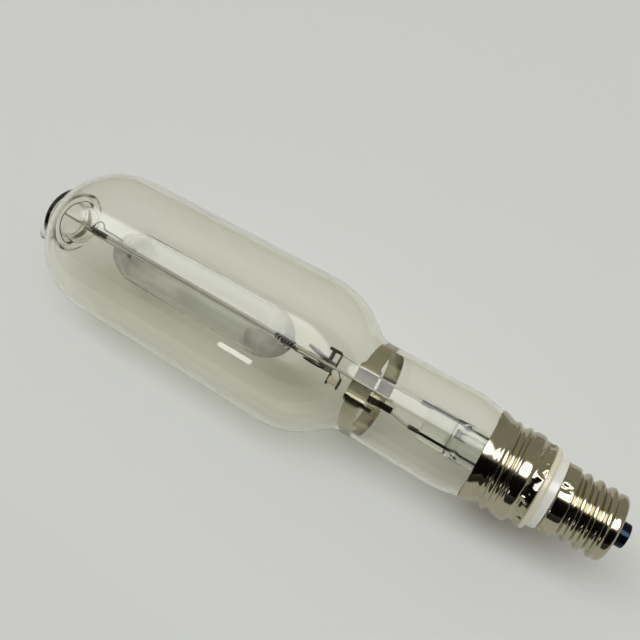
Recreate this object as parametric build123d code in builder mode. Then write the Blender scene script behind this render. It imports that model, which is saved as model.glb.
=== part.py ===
from build123d import *
from math import asin, cos, radians, sin, sqrt, tan
import os

os.makedirs("parts", exist_ok=True)

# A clear tubular metal halide lamp with a stepped screw cap, in millimetres.
# It lies along X: the contact points along +X, the dome along -X, and +Z is up.
# The origin is the centre of the contact's end face.
# A value that ends in _at is a distance from that face, measured along the lamp.
# The mount inside is turned about the lamp's axis: its long rod lies on the side called near.
near_side_turn = 52.5

# Cap
contact_radius = 5.35
contact_stand = 5.9
contact_edge = 0.7
contact_shank_radius = 2.5
rivet_depth = 0.6
contact_insulator_depth = 6.0
contact_insulator_radius = 12.6
shell_sheet = 0.4
thread_pitch = 5.2
small_lip_proud = 0.4
small_lip_radius = 12.2
small_bead_radius = 14.6
small_crest_radius = 15.1
small_root_radius = 13.3
small_thread_turns = 4
small_band_radius = 15.4
small_thread_lead = 0.6
small_band_length = 4.4
spigot_ring_radius = 16.2
spigot_ring_length = 4.1
crimp_ring_radius = 18.5
crimp_ring_length = 2.6
ceramic_wall = 3.4
ceramic_gap = 0.3
crimp_band_radius = 18.7
crimp_band_length = 4.6
crimp_stakes = 11
stake_radius = 3.2
stake_depth = 0.55
punch_marks = 4
punch_radius = 2.6
punch_turn = 17.0
collar_radius = 20.1
collar_length = 4.0
groove_radius = 19.1
big_crest_radius = 20.0
big_root_radius = 18.9
big_rim_radius = 21.4
big_flare_length = 6.0
cement_clearance = 0.05

# Glass bulb
glass_wall = 1.6
glass_at_rim_radius = 20.6
neck_radius = 23.2
neck_flare_length = 13.7
neck_fillet_radius = 12.0
shoulder_radius = 43.5
shoulder_end_at = 158.6
tube_radius = 38.4
tube_over_quartz = 7.2
lip_height = 41.2
lip_radius = 17.6
dimple_radius = 10.7
dimple_depth = 15.4
lip_root_depth = 3.3
lip_inset = 1.9
tip_radius = 1.7
tip_height = 3.0
tip_offset = 15.7
seal_depth = 10.8

# Glass stem
flare_radius = 9.0
flare_wall = 1.2
flare_lip = 1.8
flare_length = 19.5
press_start_at = 79.0
press_length = 12.0
press_width = 17.2
press_thickness = 5.0
exhaust_radius = 2.2
exhaust_wall = 0.7
exhaust_length = 22.0
exhaust_offset = 2.4

# Wires and rods
press_wire_radius = 0.5
rod_radius = 0.68
return_offset = 7.0
feed_offset = 5.5
feed_offset_at_bracket = 3.4
weld_sleeve_radius = 1.05
weld_sleeve_length = 5.0
return_rod_length = 35.0
feed_rod_length = 17.0
frame_rod_radius = 0.65
rod_start_at = 104.0
rod_beside_base = 18.2
rod_beside_dome = 15.8
neck_bend = 60.0
dome_bend = 14.0
thin_wire_radius = 0.25

# Strips
strip_thickness = 0.35
strip_width = 7.4
spring_gap = 0.15
near_spring_at = 115.3
far_spring_at = 113.0
spring_arc = 82.0
plate_arc = 25.0
plate_overhang = 1.3
plate_half_width = 4.5
seat_slope = 1.6
plate_sink = 1.8
bracket_width = 3.0
bracket_thickness = 0.5
tab_length = 7.0
tab_width = 1.6
tab_offset = 7.6
tab_lap = 2.0
bracket_weld_length = 5.0
bracket_bend_reach = 0.6
dome_ring_width = 3.0
dome_ring_gap = 0.25

# Arc tube
quartz_radius = 13.2
quartz_wall = 1.5
quartz_base_tip_at = 164.8
quartz_length = 105.4
pinch_length = 24.0
pinch_width = 17.0
pinch_thickness = 3.2
shoulder_reach = 3.6
foil_width = 4.2
foil_length = 12.0
foil_thickness = 0.12
electrode_radius = 0.55
electrode_reach = 14.0
electrode_coil_radius = 1.25
electrode_coil_length = 5.0
starting_offset = 5.4
strap_width = 8.0
strap_thickness = 0.4
cross_post_radius = 0.75
cross_post_height = 6.0
starter_radius = 1.75
starter_length = 4.6
starter_offset = 4.9
clip_height = 5.4
clip_thickness = 0.6

# Quartz sleeve and coil stops on the long rod
sleeve_margin = 0.2
sleeve_bore = 0.8
sleeve_radius = 1.5
rod_side = 0.6
coil_wire_radius = 0.38
coil_pitch = 1.75
coil_turns_base = 6
coil_turns_dome = 5
getter_radius = 2.0
getter_reach = 16.0
getter_height = 12.6
getter_side = 3.3

# Places that follow from the sizes above
shank_end_at = contact_stand + contact_insulator_depth + rivet_depth
small_rim_at = contact_stand - small_lip_proud
small_thread_at = small_rim_at + 2.6
small_thread_end_at = small_thread_at + (small_thread_turns - 0.5) * thread_pitch
small_shell_end_at = small_thread_end_at + small_thread_lead + small_band_length
crimp_ring_at = small_shell_end_at + ceramic_gap + spigot_ring_length
big_shell_at = crimp_ring_at + crimp_ring_length + ceramic_gap
collar_at = big_shell_at + crimp_band_length + 1.3
groove_at = collar_at + collar_length + 1.2
big_thread_at = groove_at + 0.4
big_thread_end_at = big_thread_at + 1.5 * thread_pitch
big_rim_at = big_thread_end_at + big_flare_length
crimp_mark_at = big_shell_at + crimp_band_length / 2
punch_mark_at = small_shell_end_at - small_band_length / 2
neck_step = neck_radius - glass_at_rim_radius
rim_slope = tan(2 * asin(neck_step / sqrt(neck_flare_length**2 + neck_step**2)))
seal_at = big_rim_at - seal_depth
seal_radius = glass_at_rim_radius - seal_depth * rim_slope
neck_bore = neck_radius - glass_wall
fillet_rise = neck_radius + neck_fillet_radius - tube_radius + shoulder_radius
arc_distance = shoulder_radius + neck_fillet_radius
neck_end_at = shoulder_end_at - sqrt(arc_distance**2 - fillet_rise**2)
dome_centre_at = shoulder_end_at + quartz_length + tube_over_quartz
lip_at = dome_centre_at + lip_height
dimple_end_at = lip_at - dimple_depth
press_end_at = press_start_at + press_length
quartz_far_tip_at = quartz_base_tip_at + quartz_length
spring_radius = neck_bore - spring_gap
plate_height = spring_radius - plate_sink
rod_in_neck = plate_height + frame_rod_radius
ring_radius = dimple_radius + dome_ring_gap
pinch_base_at = quartz_base_tip_at - pinch_length
pinch_dome_at = quartz_far_tip_at + pinch_length - 4.0
sleeve_start_at = quartz_base_tip_at + sleeve_margin
sleeve_length = quartz_length - 2 * sleeve_margin

# A profile plane: its x runs along the lamp from the contact, its y is the radius.
profile = Plane(origin=(0, 0, 0), x_dir=(-1, 0, 0), z_dir=(0, 1, 0))
turn = radians(near_side_turn)


# A cross-section plane: its x points to the near side, its y to the return side.
def section_at(distance):
    return Plane(origin=(-distance, 0, 0), x_dir=(0, -cos(turn), sin(turn)), z_dir=(-1, 0, 0))


# A point given along the lamp, towards the near side and towards the feed side.
def spot(along, near, feed=0.0):
    return Vector(-along, -near * cos(turn) - feed * sin(turn), near * sin(turn) - feed * cos(turn))


# A plane through the axis, seen from the return side: x along the lamp, y towards the near side.
near_plane = Plane(origin=(0, 0, 0), x_dir=(-1, 0, 0), z_dir=spot(0, 0, -1))


def thread_wave(start_at, halves, crest, root, first_is_crest):
    # Rolled crests and roots of equal arcs, each half a pitch long.
    middle = (crest + root) / 2
    for half in range(halves):
        begin = start_at + half * thread_pitch / 2
        peak = crest if (half % 2 == 0) == first_is_crest else root
        ThreePointArc(
            (begin, middle),
            (begin + thread_pitch / 4, peak),
            (begin + thread_pitch / 2, middle),
        )


def wire_along(points, bends, radius):
    # A round wire of straight runs joined by bends.
    with BuildPart() as wire:
        with BuildLine() as route:
            if bends:
                FilletPolyline(*points, radius=bends)
            else:
                Polyline(*points)
        with BuildSketch(Plane(origin=route.line @ 0, z_dir=route.line % 0)):
            Circle(radius)
        sweep(path=route.line)
    return wire


def pressed_marks(band_radius, band_at, count, first_turn, ball, skin):
    # What round punches push into a band. With a skin they are what bulges inside the sheet.
    trim = band_radius - shell_sheet / 2 if skin else band_radius + 1
    with BuildPart() as marks:
        with Locations(section_at(band_at)):
            with PolarLocations(band_radius + ball - stake_depth, count, first_turn):
                Sphere(ball + skin)
        with BuildSketch(section_at(band_at - ball)):
            Circle(trim)
        extrude(amount=2 * ball, mode=Mode.INTERSECT)
    return marks


def crimp_marks(skin):
    return pressed_marks(crimp_band_radius, crimp_mark_at, crimp_stakes, 0, stake_radius, skin)


def punch_dots(skin):
    return pressed_marks(small_band_radius, punch_mark_at, punch_marks, punch_turn, punch_radius, skin)


def finish(piece, name):
    piece.part.label = name
    export_step(piece.part, f"parts/{name}.step")


# Centre contact: a button with a rivet shank
with BuildPart() as centre_contact:
    with BuildSketch(profile) as button_half:
        with BuildLine():
            FilletPolyline(
                (0, 0),
                (0, contact_radius),
                (contact_stand, contact_radius),
                (contact_stand, contact_shank_radius),
                radius=[contact_edge, 0.1],
            )
            Polyline(
                (contact_stand, contact_shank_radius),
                (shank_end_at, contact_shank_radius),
                (shank_end_at, 0),
                (0, 0),
            )
        make_face()
    revolve(axis=Axis.X)

# Black glass disc that insulates the contact
with BuildPart() as contact_insulator:
    with BuildSketch(profile) as disc_half:
        with Locations((contact_stand + contact_insulator_depth / 2, contact_insulator_radius / 2)):
            Rectangle(contact_insulator_depth, contact_insulator_radius)
        with Locations((contact_stand + contact_insulator_depth / 2, 0)):
            Rectangle(contact_insulator_depth, 2 * contact_shank_radius, mode=Mode.SUBTRACT)
    revolve(axis=Axis.X)
    front_edges = contact_insulator.edges().filter_by(GeomType.CIRCLE).group_by(Axis.X)[-1]
    chamfer(front_edges.sort_by(SortBy.RADIUS)[-1], 0.3)

# Small screw shell: rolled sheet with a lip, a thread and a plain band
with BuildPart() as small_screw_shell:
    with BuildSketch(profile) as small_shell_half:
        with BuildLine():
            small_middle = (small_crest_radius + small_root_radius) / 2
            FilletPolyline(
                (small_rim_at, small_lip_radius),
                (small_rim_at, small_bead_radius),
                (small_thread_at - small_thread_lead, small_bead_radius),
                (small_thread_at, small_middle),
                radius=[1.1, 0.5],
            )
            small_halves = 2 * small_thread_turns - 1
            thread_wave(small_thread_at, small_halves, small_crest_radius, small_root_radius, False)
            FilletPolyline(
                (small_thread_end_at, small_middle),
                (small_thread_end_at + small_thread_lead, small_band_radius),
                (small_shell_end_at, small_band_radius),
                radius=0.8,
            )
            offset(amount=shell_sheet, side=Side.RIGHT)
        make_face()
    revolve(axis=Axis.X)
    add(punch_dots(shell_sheet).part)
    add(punch_dots(0).part, mode=Mode.SUBTRACT)

# Big screw shell: crimp band, collar, groove, thread and flared rim
with BuildPart() as big_screw_shell:
    with BuildSketch(profile) as big_shell_half:
        with BuildLine():
            big_middle = (big_crest_radius + big_root_radius) / 2
            FilletPolyline(
                (big_shell_at, crimp_band_radius),
                (big_shell_at + crimp_band_length, crimp_band_radius),
                (collar_at, collar_radius),
                (groove_at - 1.2, collar_radius),
                (groove_at, groove_radius),
                (big_thread_at, big_middle),
                radius=[0.9, 1.0, 1.2, 0.45],
            )
            thread_wave(big_thread_at, 3, big_crest_radius, big_root_radius, True)
            FilletPolyline(
                (big_thread_end_at, big_middle),
                (big_rim_at - 1.8, big_rim_radius - 0.1),
                (big_rim_at, big_rim_radius),
                radius=2.0,
            )
            offset(amount=shell_sheet, side=Side.RIGHT)
        make_face()
    revolve(axis=Axis.X)
    add(crimp_marks(shell_sheet).part)
    add(crimp_marks(0).part, mode=Mode.SUBTRACT)

# Ceramic insulator: spigot in the small shell, two rings in view, and a collar in the big shell
spigot_radius = small_root_radius - shell_sheet - 0.1
spigot_start_at = contact_stand + contact_insulator_depth
spigot_seat_radius = small_band_radius - shell_sheet - 0.1
spigot_seat_at = small_thread_end_at + 1.6
ceramic_collar_radius = crimp_band_radius - shell_sheet - 0.1
ceramic_end_at = big_shell_at + crimp_band_length + 2.0
ceramic_bore = spigot_radius - ceramic_wall
with BuildPart() as ceramic_insulator:
    with BuildSketch(profile) as ceramic_half:
        with BuildLine():
            FilletPolyline(
                (spigot_start_at, ceramic_bore),
                (spigot_start_at, spigot_radius),
                (spigot_seat_at, spigot_radius),
                (spigot_seat_at, spigot_seat_radius),
                (small_shell_end_at + ceramic_gap, spigot_seat_radius),
                (small_shell_end_at + ceramic_gap, spigot_ring_radius),
                (crimp_ring_at, spigot_ring_radius),
                (crimp_ring_at, crimp_ring_radius),
                (big_shell_at - ceramic_gap, crimp_ring_radius),
                (big_shell_at - ceramic_gap, ceramic_collar_radius),
                (ceramic_end_at, ceramic_collar_radius),
                (ceramic_end_at, ceramic_collar_radius - ceramic_wall),
                (big_shell_at, ceramic_collar_radius - ceramic_wall),
                (big_shell_at, ceramic_bore),
                radius=[0.3, 0.5, 0.3, 0.1, 0.5, 0.5, 0.9, 0.15, 0.1, 0.3, 0.3, 0.8],
            )
            Line((big_shell_at, ceramic_bore), (spigot_start_at, ceramic_bore))
        make_face()
    revolve(axis=Axis.X)
    add(crimp_marks(shell_sheet + 0.1).part, mode=Mode.SUBTRACT)
    add(punch_dots(shell_sheet + 0.1).part, mode=Mode.SUBTRACT)

# Cement that holds the neck in the big shell
cement_radius = big_root_radius - shell_sheet - cement_clearance
cement_root_at = big_thread_at + 0.9 * thread_pitch
cement_end_at = big_rim_at - 1.5
with BuildPart() as cap_cement:
    with BuildSketch(profile) as cement_half:
        with BuildLine():
            Polyline(
                (seal_at, cement_radius),
                (cement_root_at, cement_radius),
                (big_thread_end_at, cement_radius + 0.35),
                (cement_end_at, glass_at_rim_radius - rim_slope * 1.5 + 0.35),
                (cement_end_at, glass_at_rim_radius - rim_slope * 1.5),
                (seal_at, seal_radius),
                close=True,
            )
        make_face()
    revolve(axis=Axis.X)

# Outer bulb: seal end, neck, shoulder, tube and dome with its dimple, blown as one piece
fillet_centre = Vector(neck_end_at, neck_radius + neck_fillet_radius)
shoulder_centre = Vector(shoulder_end_at, tube_radius - shoulder_radius)
arc_meeting = fillet_centre + (shoulder_centre - fillet_centre) * (neck_fillet_radius / arc_distance)
to_shoulder = (shoulder_centre - fillet_centre).normalized()
lip_foot_radius = lip_radius + 2.4


def glass_line(depth):
    # The blown line at a depth below the outside, from the seal to the foot of the dome's lip.
    foot = lip_foot_radius - depth
    foot_at = dome_centre_at + sqrt((tube_radius - depth)**2 - foot**2)
    meeting = arc_meeting + to_shoulder * depth
    slant = sqrt(1 + rim_slope**2)
    rim_point = (big_rim_at + depth * rim_slope / slant, glass_at_rim_radius - depth / slant)
    Line((seal_at, seal_radius - depth * slant), rim_point)
    TangentArc((big_rim_at + neck_flare_length, neck_radius - depth), rim_point, tangent=(-1, 0))
    Line((big_rim_at + neck_flare_length, neck_radius - depth), (neck_end_at, neck_radius - depth))
    TangentArc((neck_end_at, neck_radius - depth), (meeting.X, meeting.Y), tangent=(1, 0))
    TangentArc((shoulder_end_at, tube_radius - depth), (meeting.X, meeting.Y), tangent=(-1, 0))
    Line((shoulder_end_at, tube_radius - depth), (dome_centre_at, tube_radius - depth))
    TangentArc((dome_centre_at, tube_radius - depth), (foot_at, foot), tangent=(1, 0))
    return foot_at, foot


dimple_bore = dimple_radius - glass_wall
lip_root_at = lip_at - lip_root_depth
with BuildPart() as outer_bulb:
    with BuildSketch(profile) as bulb_half:
        with BuildLine():
            outer_foot_at, outer_foot = glass_line(0)
            FilletPolyline(
                (outer_foot_at, outer_foot),
                (outer_foot_at + 0.9, lip_radius + 0.9),
                (lip_at, lip_radius),
                (lip_at, dimple_bore + 4.2),
                (lip_root_at + 1.8, dimple_bore),
                (dimple_end_at + glass_wall, dimple_bore),
                (dimple_end_at + glass_wall, 0),
                radius=[0.8, 1.9, 2.6, 2.4, 3.5],
            )
            inner_foot_at, inner_foot = glass_line(glass_wall)
            FilletPolyline(
                (inner_foot_at, inner_foot),
                (inner_foot_at + 1.0, inner_foot - 1.6),
                (lip_root_at, lip_radius - lip_inset),
                (lip_root_at, dimple_radius),
                (dimple_end_at, dimple_radius),
                (dimple_end_at, 0),
                radius=[0.8, 1.4, 1.4, 4.5],
            )
            Line((dimple_end_at, 0), (dimple_end_at + glass_wall, 0))
            Line((seal_at, seal_radius), (seal_at, seal_radius - glass_wall * sqrt(1 + rim_slope**2)))
        make_face()
    revolve(axis=Axis.X)
    # The melted tip on the lip, where the pump tube was sealed off
    with BuildSketch(Plane(origin=spot(lip_at - 1.0, 0, tip_offset), z_dir=(-1, 0, 0))):
        Circle(tip_radius)
    extrude(amount=tip_height, taper=14)
    fillet(outer_bulb.edges().group_by(Axis.X)[0], tip_radius * 0.4)

# Wires through the press, cut out of the glass below
return_wire = wire_along(
    [
        spot(press_end_at + weld_sleeve_length / 2, 0, -return_offset),
        spot(seal_at + 4, 0, -return_offset),
        spot(seal_at - 3.2, 0, -return_offset - 3.5),
        spot(collar_at + collar_length, 0, 0.45 + shell_sheet - collar_radius),
    ],
    [6.0, 2.2],
    press_wire_radius,
)
feed_wire = wire_along(
    [
        spot(press_end_at + weld_sleeve_length / 2, 0, feed_offset),
        spot(seal_at + 6, 0, feed_offset),
        spot(big_shell_at + 2, 0, 0),
        spot(shank_end_at, 0, 0),
    ],
    [8.0, 8.0],
    press_wire_radius,
)

# Glass stem: flare, press and exhaust tube in one
flare_end_at = seal_at + flare_length
lip_inner = seal_radius - glass_wall * sqrt(1 + rim_slope**2)
with BuildPart() as stem_press:
    with BuildSketch(profile) as flare_half:
        with BuildLine():
            FilletPolyline(
                (seal_at, lip_inner - flare_lip),
                (seal_at, lip_inner),
                (seal_at + 1.6, lip_inner),
                (seal_at + 4.5, flare_radius),
                (flare_end_at, flare_radius),
                radius=[0.2, 1.6, 5.0],
            )
            Line((flare_end_at, flare_radius), (flare_end_at, flare_radius - flare_wall))
            FilletPolyline(
                (flare_end_at, flare_radius - flare_wall),
                (seal_at + 4.0, flare_radius - flare_wall),
                (seal_at, lip_inner - flare_lip),
                radius=5.0,
            )
        make_face()
    revolve(axis=Axis.X)
    with BuildSketch(section_at(flare_end_at)):
        Circle(flare_radius)
    with BuildSketch(section_at(press_start_at)):
        RectangleRounded(press_thickness, press_width, press_thickness / 2.2)
    loft()
    with BuildSketch(section_at(flare_end_at)):
        Circle(flare_radius - flare_wall)
    with BuildSketch(section_at(press_start_at - 2.0)):
        RectangleRounded(1.6, press_width - 4.0, 0.7)
    loft(mode=Mode.SUBTRACT)
    with BuildSketch(section_at(press_start_at)):
        RectangleRounded(press_thickness, press_width, press_thickness / 2.2)
    extrude(amount=press_length)
    fillet(stem_press.edges().group_by(Axis.X)[0], 0.8)
    exhaust_root = section_at(press_start_at - 2.5)
    with BuildSketch(exhaust_root.offset(-exhaust_length)):
        with Locations((0, exhaust_offset)):
            Circle(exhaust_radius)
    extrude(amount=exhaust_length)
    with BuildSketch(exhaust_root.offset(1.5 - exhaust_length)):
        with Locations((0, exhaust_offset)):
            Circle(exhaust_radius - exhaust_wall)
    extrude(amount=exhaust_length + press_length - 2.0, mode=Mode.SUBTRACT)
    with BuildSketch(Plane(origin=spot(press_end_at - 2.2, 0, -exhaust_offset), z_dir=spot(0, 1, 0))):
        Circle(exhaust_radius - exhaust_wall)
    extrude(amount=press_thickness, mode=Mode.SUBTRACT)
    add(return_wire.part, mode=Mode.SUBTRACT)
    add(feed_wire.part, mode=Mode.SUBTRACT)

# Lead rods that stand on the press
rod_start = press_end_at + weld_sleeve_length / 2
return_rod = wire_along(
    [spot(rod_start, 0, -return_offset), spot(rod_start + return_rod_length, 0, -return_offset)],
    None,
    rod_radius,
)
feed_rod = wire_along(
    [
        spot(rod_start, 0, feed_offset),
        spot(rod_start + 4, 0, feed_offset),
        spot(rod_start + feed_rod_length, 0, feed_offset_at_bracket),
    ],
    [10.0],
    rod_radius,
)


def weld_sleeve(offset_to_feed):
    # A short tube over the joint, narrow over the press wire and wide over the rod.
    centre = (0, -offset_to_feed)
    with BuildPart() as sleeve:
        with BuildSketch(section_at(press_end_at)):
            with Locations(centre):
                Circle(weld_sleeve_radius)
        extrude(amount=weld_sleeve_length)
        with BuildSketch(section_at(press_end_at)):
            with Locations(centre):
                Circle(press_wire_radius)
        extrude(amount=weld_sleeve_length / 2, mode=Mode.SUBTRACT)
        with BuildSketch(section_at(rod_start)):
            with Locations(centre):
                Circle(rod_radius)
        extrude(amount=weld_sleeve_length, mode=Mode.SUBTRACT)
    return sleeve


weld_sleeve_return = weld_sleeve(-return_offset)
weld_sleeve_feed = weld_sleeve(feed_offset)

# Long frame rod, from the neck spring past the arc tube to the dome ring
ring_outer = ring_radius + strip_thickness
ring_at = dimple_end_at + 8.2
rod_slope_start = Vector(quartz_base_tip_at - 12.0, rod_beside_base)
rod_slope_end = Vector(ring_at - 13.2, rod_beside_dome)


def rod_height(distance):
    share = (distance - rod_slope_start.X) / (rod_slope_end.X - rod_slope_start.X)
    return rod_beside_base + (rod_beside_dome - rod_beside_base) * share


rod_in_neck_end_at = near_spring_at + strip_width + plate_overhang


def bent_rod_height(distance):
    # Past the last bend the rod leans in towards the dome ring.
    lean = (rod_beside_dome - ring_outer - frame_rod_radius) / (ring_at - rod_slope_end.X)
    return rod_beside_dome - lean * (distance - rod_slope_end.X)


frame_rod = wire_along(
    [
        spot(rod_start_at, rod_in_neck + 0.3, 0.2 - rod_side),
        spot(rod_in_neck_end_at, rod_in_neck, -rod_side),
        spot(rod_slope_start.X, rod_beside_base, -rod_side),
        spot(rod_slope_end.X, rod_beside_dome, -rod_side),
        spot(ring_at, ring_outer + frame_rod_radius, -rod_side),
    ],
    [neck_bend, neck_bend, dome_bend],
    frame_rod_radius,
)

# Dome ring: a strip round the dimple
with BuildPart() as dome_ring:
    with BuildSketch(section_at(ring_at - dome_ring_width / 2)):
        Circle(ring_outer)
        Circle(ring_radius, mode=Mode.SUBTRACT)
    extrude(amount=dome_ring_width)

# Neck springs: two bowed strips that brace the mount in the neck
seat_edge = plate_half_width + seat_slope
flat_edge = Vector(sqrt(spring_radius**2 - seat_edge**2), seat_edge)
near_start = spring_radius * cos(radians(spring_arc)), spring_radius * sin(radians(spring_arc))
arc_middle = (radians(spring_arc) + asin(seat_edge / spring_radius)) / 2
near_middle = spring_radius * cos(arc_middle), spring_radius * sin(arc_middle)


def near_spring_line():
    # One strip seen along the lamp: an arc, a sunk seat for the rod, and an arc again.
    ThreePointArc(near_start, near_middle, (flat_edge.X, flat_edge.Y))
    FilletPolyline(
        (flat_edge.X, flat_edge.Y),
        (plate_height, plate_half_width),
        (plate_height, -plate_half_width),
        (flat_edge.X, -flat_edge.Y),
        radius=0.8,
    )
    ThreePointArc(
        (flat_edge.X, -flat_edge.Y),
        (near_middle[0], -near_middle[1]),
        (near_start[0], -near_start[1]),
    )
    offset(amount=strip_thickness, side=Side.RIGHT)


with BuildPart() as neck_spring_near:
    with BuildSketch(section_at(near_spring_at)) as near_strip:
        with BuildLine():
            near_spring_line()
        make_face()
    extrude(amount=strip_width)
    plate_reach = spring_radius * sin(radians(plate_arc))
    with BuildSketch(section_at(near_spring_at - plate_overhang)):
        with BuildLine():
            near_spring_line()
        make_face()
        with Locations((spring_radius, 0)):
            Rectangle(spring_radius, 2 * plate_reach, mode=Mode.INTERSECT)
    extrude(amount=strip_width + 2 * plate_overhang)

far_outer = spring_radius - strip_thickness - 0.05
far_arc = radians(180 - spring_arc - 8)
with BuildPart() as neck_spring_far:
    with BuildSketch(section_at(far_spring_at)):
        with BuildLine():
            far_start = far_outer * cos(far_arc), far_outer * sin(far_arc)
            ThreePointArc((far_start[0], far_start[1]), (-far_outer, 0), (far_start[0], -far_start[1]))
            offset(amount=strip_thickness, side=Side.LEFT)
        make_face()
    extrude(amount=strip_width)

# Bracket: a bent strip from the feed rod's end up to the sunk seat of the near spring
bracket_foot_at = rod_start + feed_rod_length - bracket_weld_length
bracket_leg_at = rod_start + feed_rod_length + bracket_bend_reach
bracket_top = plate_height - strip_thickness
bracket_plane = near_plane.offset(-feed_offset_at_bracket - bracket_width / 2)
with BuildPart() as mount_bracket:
    with BuildSketch(bracket_plane) as bracket_side:
        with BuildLine():
            FilletPolyline(
                (bracket_foot_at, rod_radius + bracket_thickness),
                (bracket_leg_at, rod_radius + bracket_thickness),
                (bracket_leg_at, bracket_top),
                (near_spring_at + strip_width / 2, bracket_top),
                radius=0.8,
            )
            offset(amount=bracket_thickness, side=Side.RIGHT)
        make_face()
    extrude(amount=bracket_width)

# Quartz sleeve on the long rod, with a coiled stop at each end
rod_line = Plane(
    origin=spot(sleeve_start_at, rod_height(sleeve_start_at), -rod_side),
    z_dir=spot(rod_slope_end.X, rod_beside_dome, 0) - spot(rod_slope_start.X, rod_beside_base, 0),
)
with BuildPart() as quartz_sleeve:
    with BuildSketch(rod_line):
        Circle(sleeve_radius)
        Circle(sleeve_bore, mode=Mode.SUBTRACT)
    extrude(amount=sleeve_length)


def coil_stop(start, turns):
    # Wire wound round the rod in an open helix, with its ends at the sleeve and on the rod.
    place = rod_line.offset(start)
    winding_radius = frame_rod_radius + coil_wire_radius + 0.05
    with BuildPart() as coil:
        with BuildLine() as winding:
            Helix(coil_pitch, turns * coil_pitch, winding_radius, center=place.origin, direction=place.z_dir)
        with BuildSketch(Plane(origin=winding.line @ 0, z_dir=winding.line % 0)):
            Circle(coil_wire_radius)
        sweep(path=winding.line, is_frenet=True)
    return coil


coil_gap = coil_wire_radius + 0.15
coil_stop_base = coil_stop(-coil_turns_base * coil_pitch - coil_gap, coil_turns_base)
coil_stop_dome = coil_stop(sleeve_length + coil_gap, coil_turns_dome)


def electrode(root_at, towards, near, reach):
    # A tungsten shaft; towards is 1 for the base end and -1 for the dome end.
    with BuildPart() as shaft:
        with BuildSketch(section_at(root_at)):
            with Locations((near, 0)):
                Circle(electrode_radius if near == 0 else electrode_radius * 0.7)
        extrude(amount=towards * reach)
        if near == 0:
            coil_start = root_at + towards * (reach - electrode_coil_length - 1.0)
            for number in range(6):
                ring_place = section_at(coil_start + towards * (number + 0.5) * electrode_coil_length / 6)
                with Locations(ring_place):
                    Torus(electrode_coil_radius - 0.45, 0.45)
    return shaft


def foil(near, width, start_at):
    # Molybdenum foil, thin across the pinch.
    with BuildPart() as strip:
        with BuildSketch(section_at(start_at)):
            with Locations((near, 0)):
                Rectangle(width, foil_thickness)
        extrude(amount=foil_length)
    return strip


foil_base_at = pinch_base_at + 5.0
foil_dome_at = pinch_dome_at - 5.0 - foil_length
shaft_reach = quartz_base_tip_at + electrode_reach + 2 - foil_base_at - foil_length
dome_shaft_reach = foil_dome_at - quartz_far_tip_at + electrode_reach + 2
electrode_base = electrode(foil_base_at + foil_length, 1, 0, shaft_reach)
electrode_dome = electrode(foil_dome_at, -1, 0, dome_shaft_reach)
starting_reach = shaft_reach - electrode_coil_length
starting_electrode = electrode(foil_base_at + foil_length, 1, starting_offset, starting_reach)
foil_base = foil(0, foil_width, foil_base_at)
foil_dome = foil(0, foil_width, foil_dome_at)
foil_starting = foil(starting_offset, foil_width / 2, foil_base_at)

# Outer wires of the arc tube
post_at = pinch_base_at + 1.7
post_top = pinch_thickness / 2 + strap_thickness + cross_post_height
base_lead = wire_along(
    [
        spot(foil_base_at, 0, 0),
        spot(pinch_base_at - 2.4, 0, 0),
        spot(pinch_base_at - 2.4, 0, -post_top),
    ],
    [1.2],
    press_wire_radius,
)
starting_lead = wire_along(
    [
        spot(foil_base_at, starting_offset, 0),
        spot(pinch_base_at - 2.6, starting_offset, 0),
        spot(pinch_base_at - 2.6, starting_offset, starter_offset - clip_height / 2),
    ],
    [1.2],
    press_wire_radius * 0.8,
)
dome_lead = wire_along(
    [
        spot(foil_dome_at + foil_length, 0, 0),
        spot(pinch_dome_at + 3.4, 0, 0),
        spot(pinch_dome_at + 3.4, 5.0, -2.4),
        spot(pinch_dome_at + 3.4, bent_rod_height(pinch_dome_at + 3.4) - frame_rod_radius - 0.25, -rod_side),
    ],
    [2.0, 2.5],
    press_wire_radius,
)

# Arc tube: quartz body with a pinch seal at each end
def capsule(tip_at, far_tip_at, radius):
    # The half outline of a tube with round ends, closed along the axis.
    Line((tip_at, 0), (far_tip_at, 0))
    RadiusArc((far_tip_at, 0), (far_tip_at - radius, radius), -radius)
    Line((far_tip_at - radius, radius), (tip_at + radius, radius))
    RadiusArc((tip_at + radius, radius), (tip_at, 0), -radius)


with BuildPart() as arc_tube:
    with BuildSketch(profile):
        with BuildLine():
            capsule(quartz_base_tip_at, quartz_far_tip_at, quartz_radius)
        make_face()
    revolve(axis=Axis.X)
    for pinch_start, length in (
        (pinch_base_at, pinch_length + quartz_wall),
        (quartz_far_tip_at - quartz_wall, pinch_dome_at - quartz_far_tip_at + quartz_wall),
    ):
        with BuildSketch(section_at(pinch_start)):
            RectangleRounded(pinch_width, pinch_thickness, 0.9)
        extrude(amount=length)
    shoulder_ring = sqrt(quartz_radius**2 - (quartz_radius - shoulder_reach)**2)
    for flat_at, round_at in (
        (quartz_base_tip_at - shoulder_reach, quartz_base_tip_at + shoulder_reach),
        (quartz_far_tip_at + shoulder_reach, quartz_far_tip_at - shoulder_reach),
    ):
        with BuildSketch(section_at(flat_at)):
            RectangleRounded(pinch_width, pinch_thickness, 0.9)
        with BuildSketch(section_at(round_at)):
            Circle(shoulder_ring)
        loft()
    with BuildSketch(profile):
        with BuildLine():
            capsule(
                quartz_base_tip_at + quartz_wall,
                quartz_far_tip_at - quartz_wall,
                quartz_radius - quartz_wall,
            )
        make_face()
    revolve(axis=Axis.X, mode=Mode.SUBTRACT)
    for sealed_in in (
        electrode_base,
        electrode_dome,
        starting_electrode,
        foil_base,
        foil_dome,
        foil_starting,
        base_lead,
        starting_lead,
        dome_lead,
    ):
        add(sealed_in.part, mode=Mode.SUBTRACT)

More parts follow.
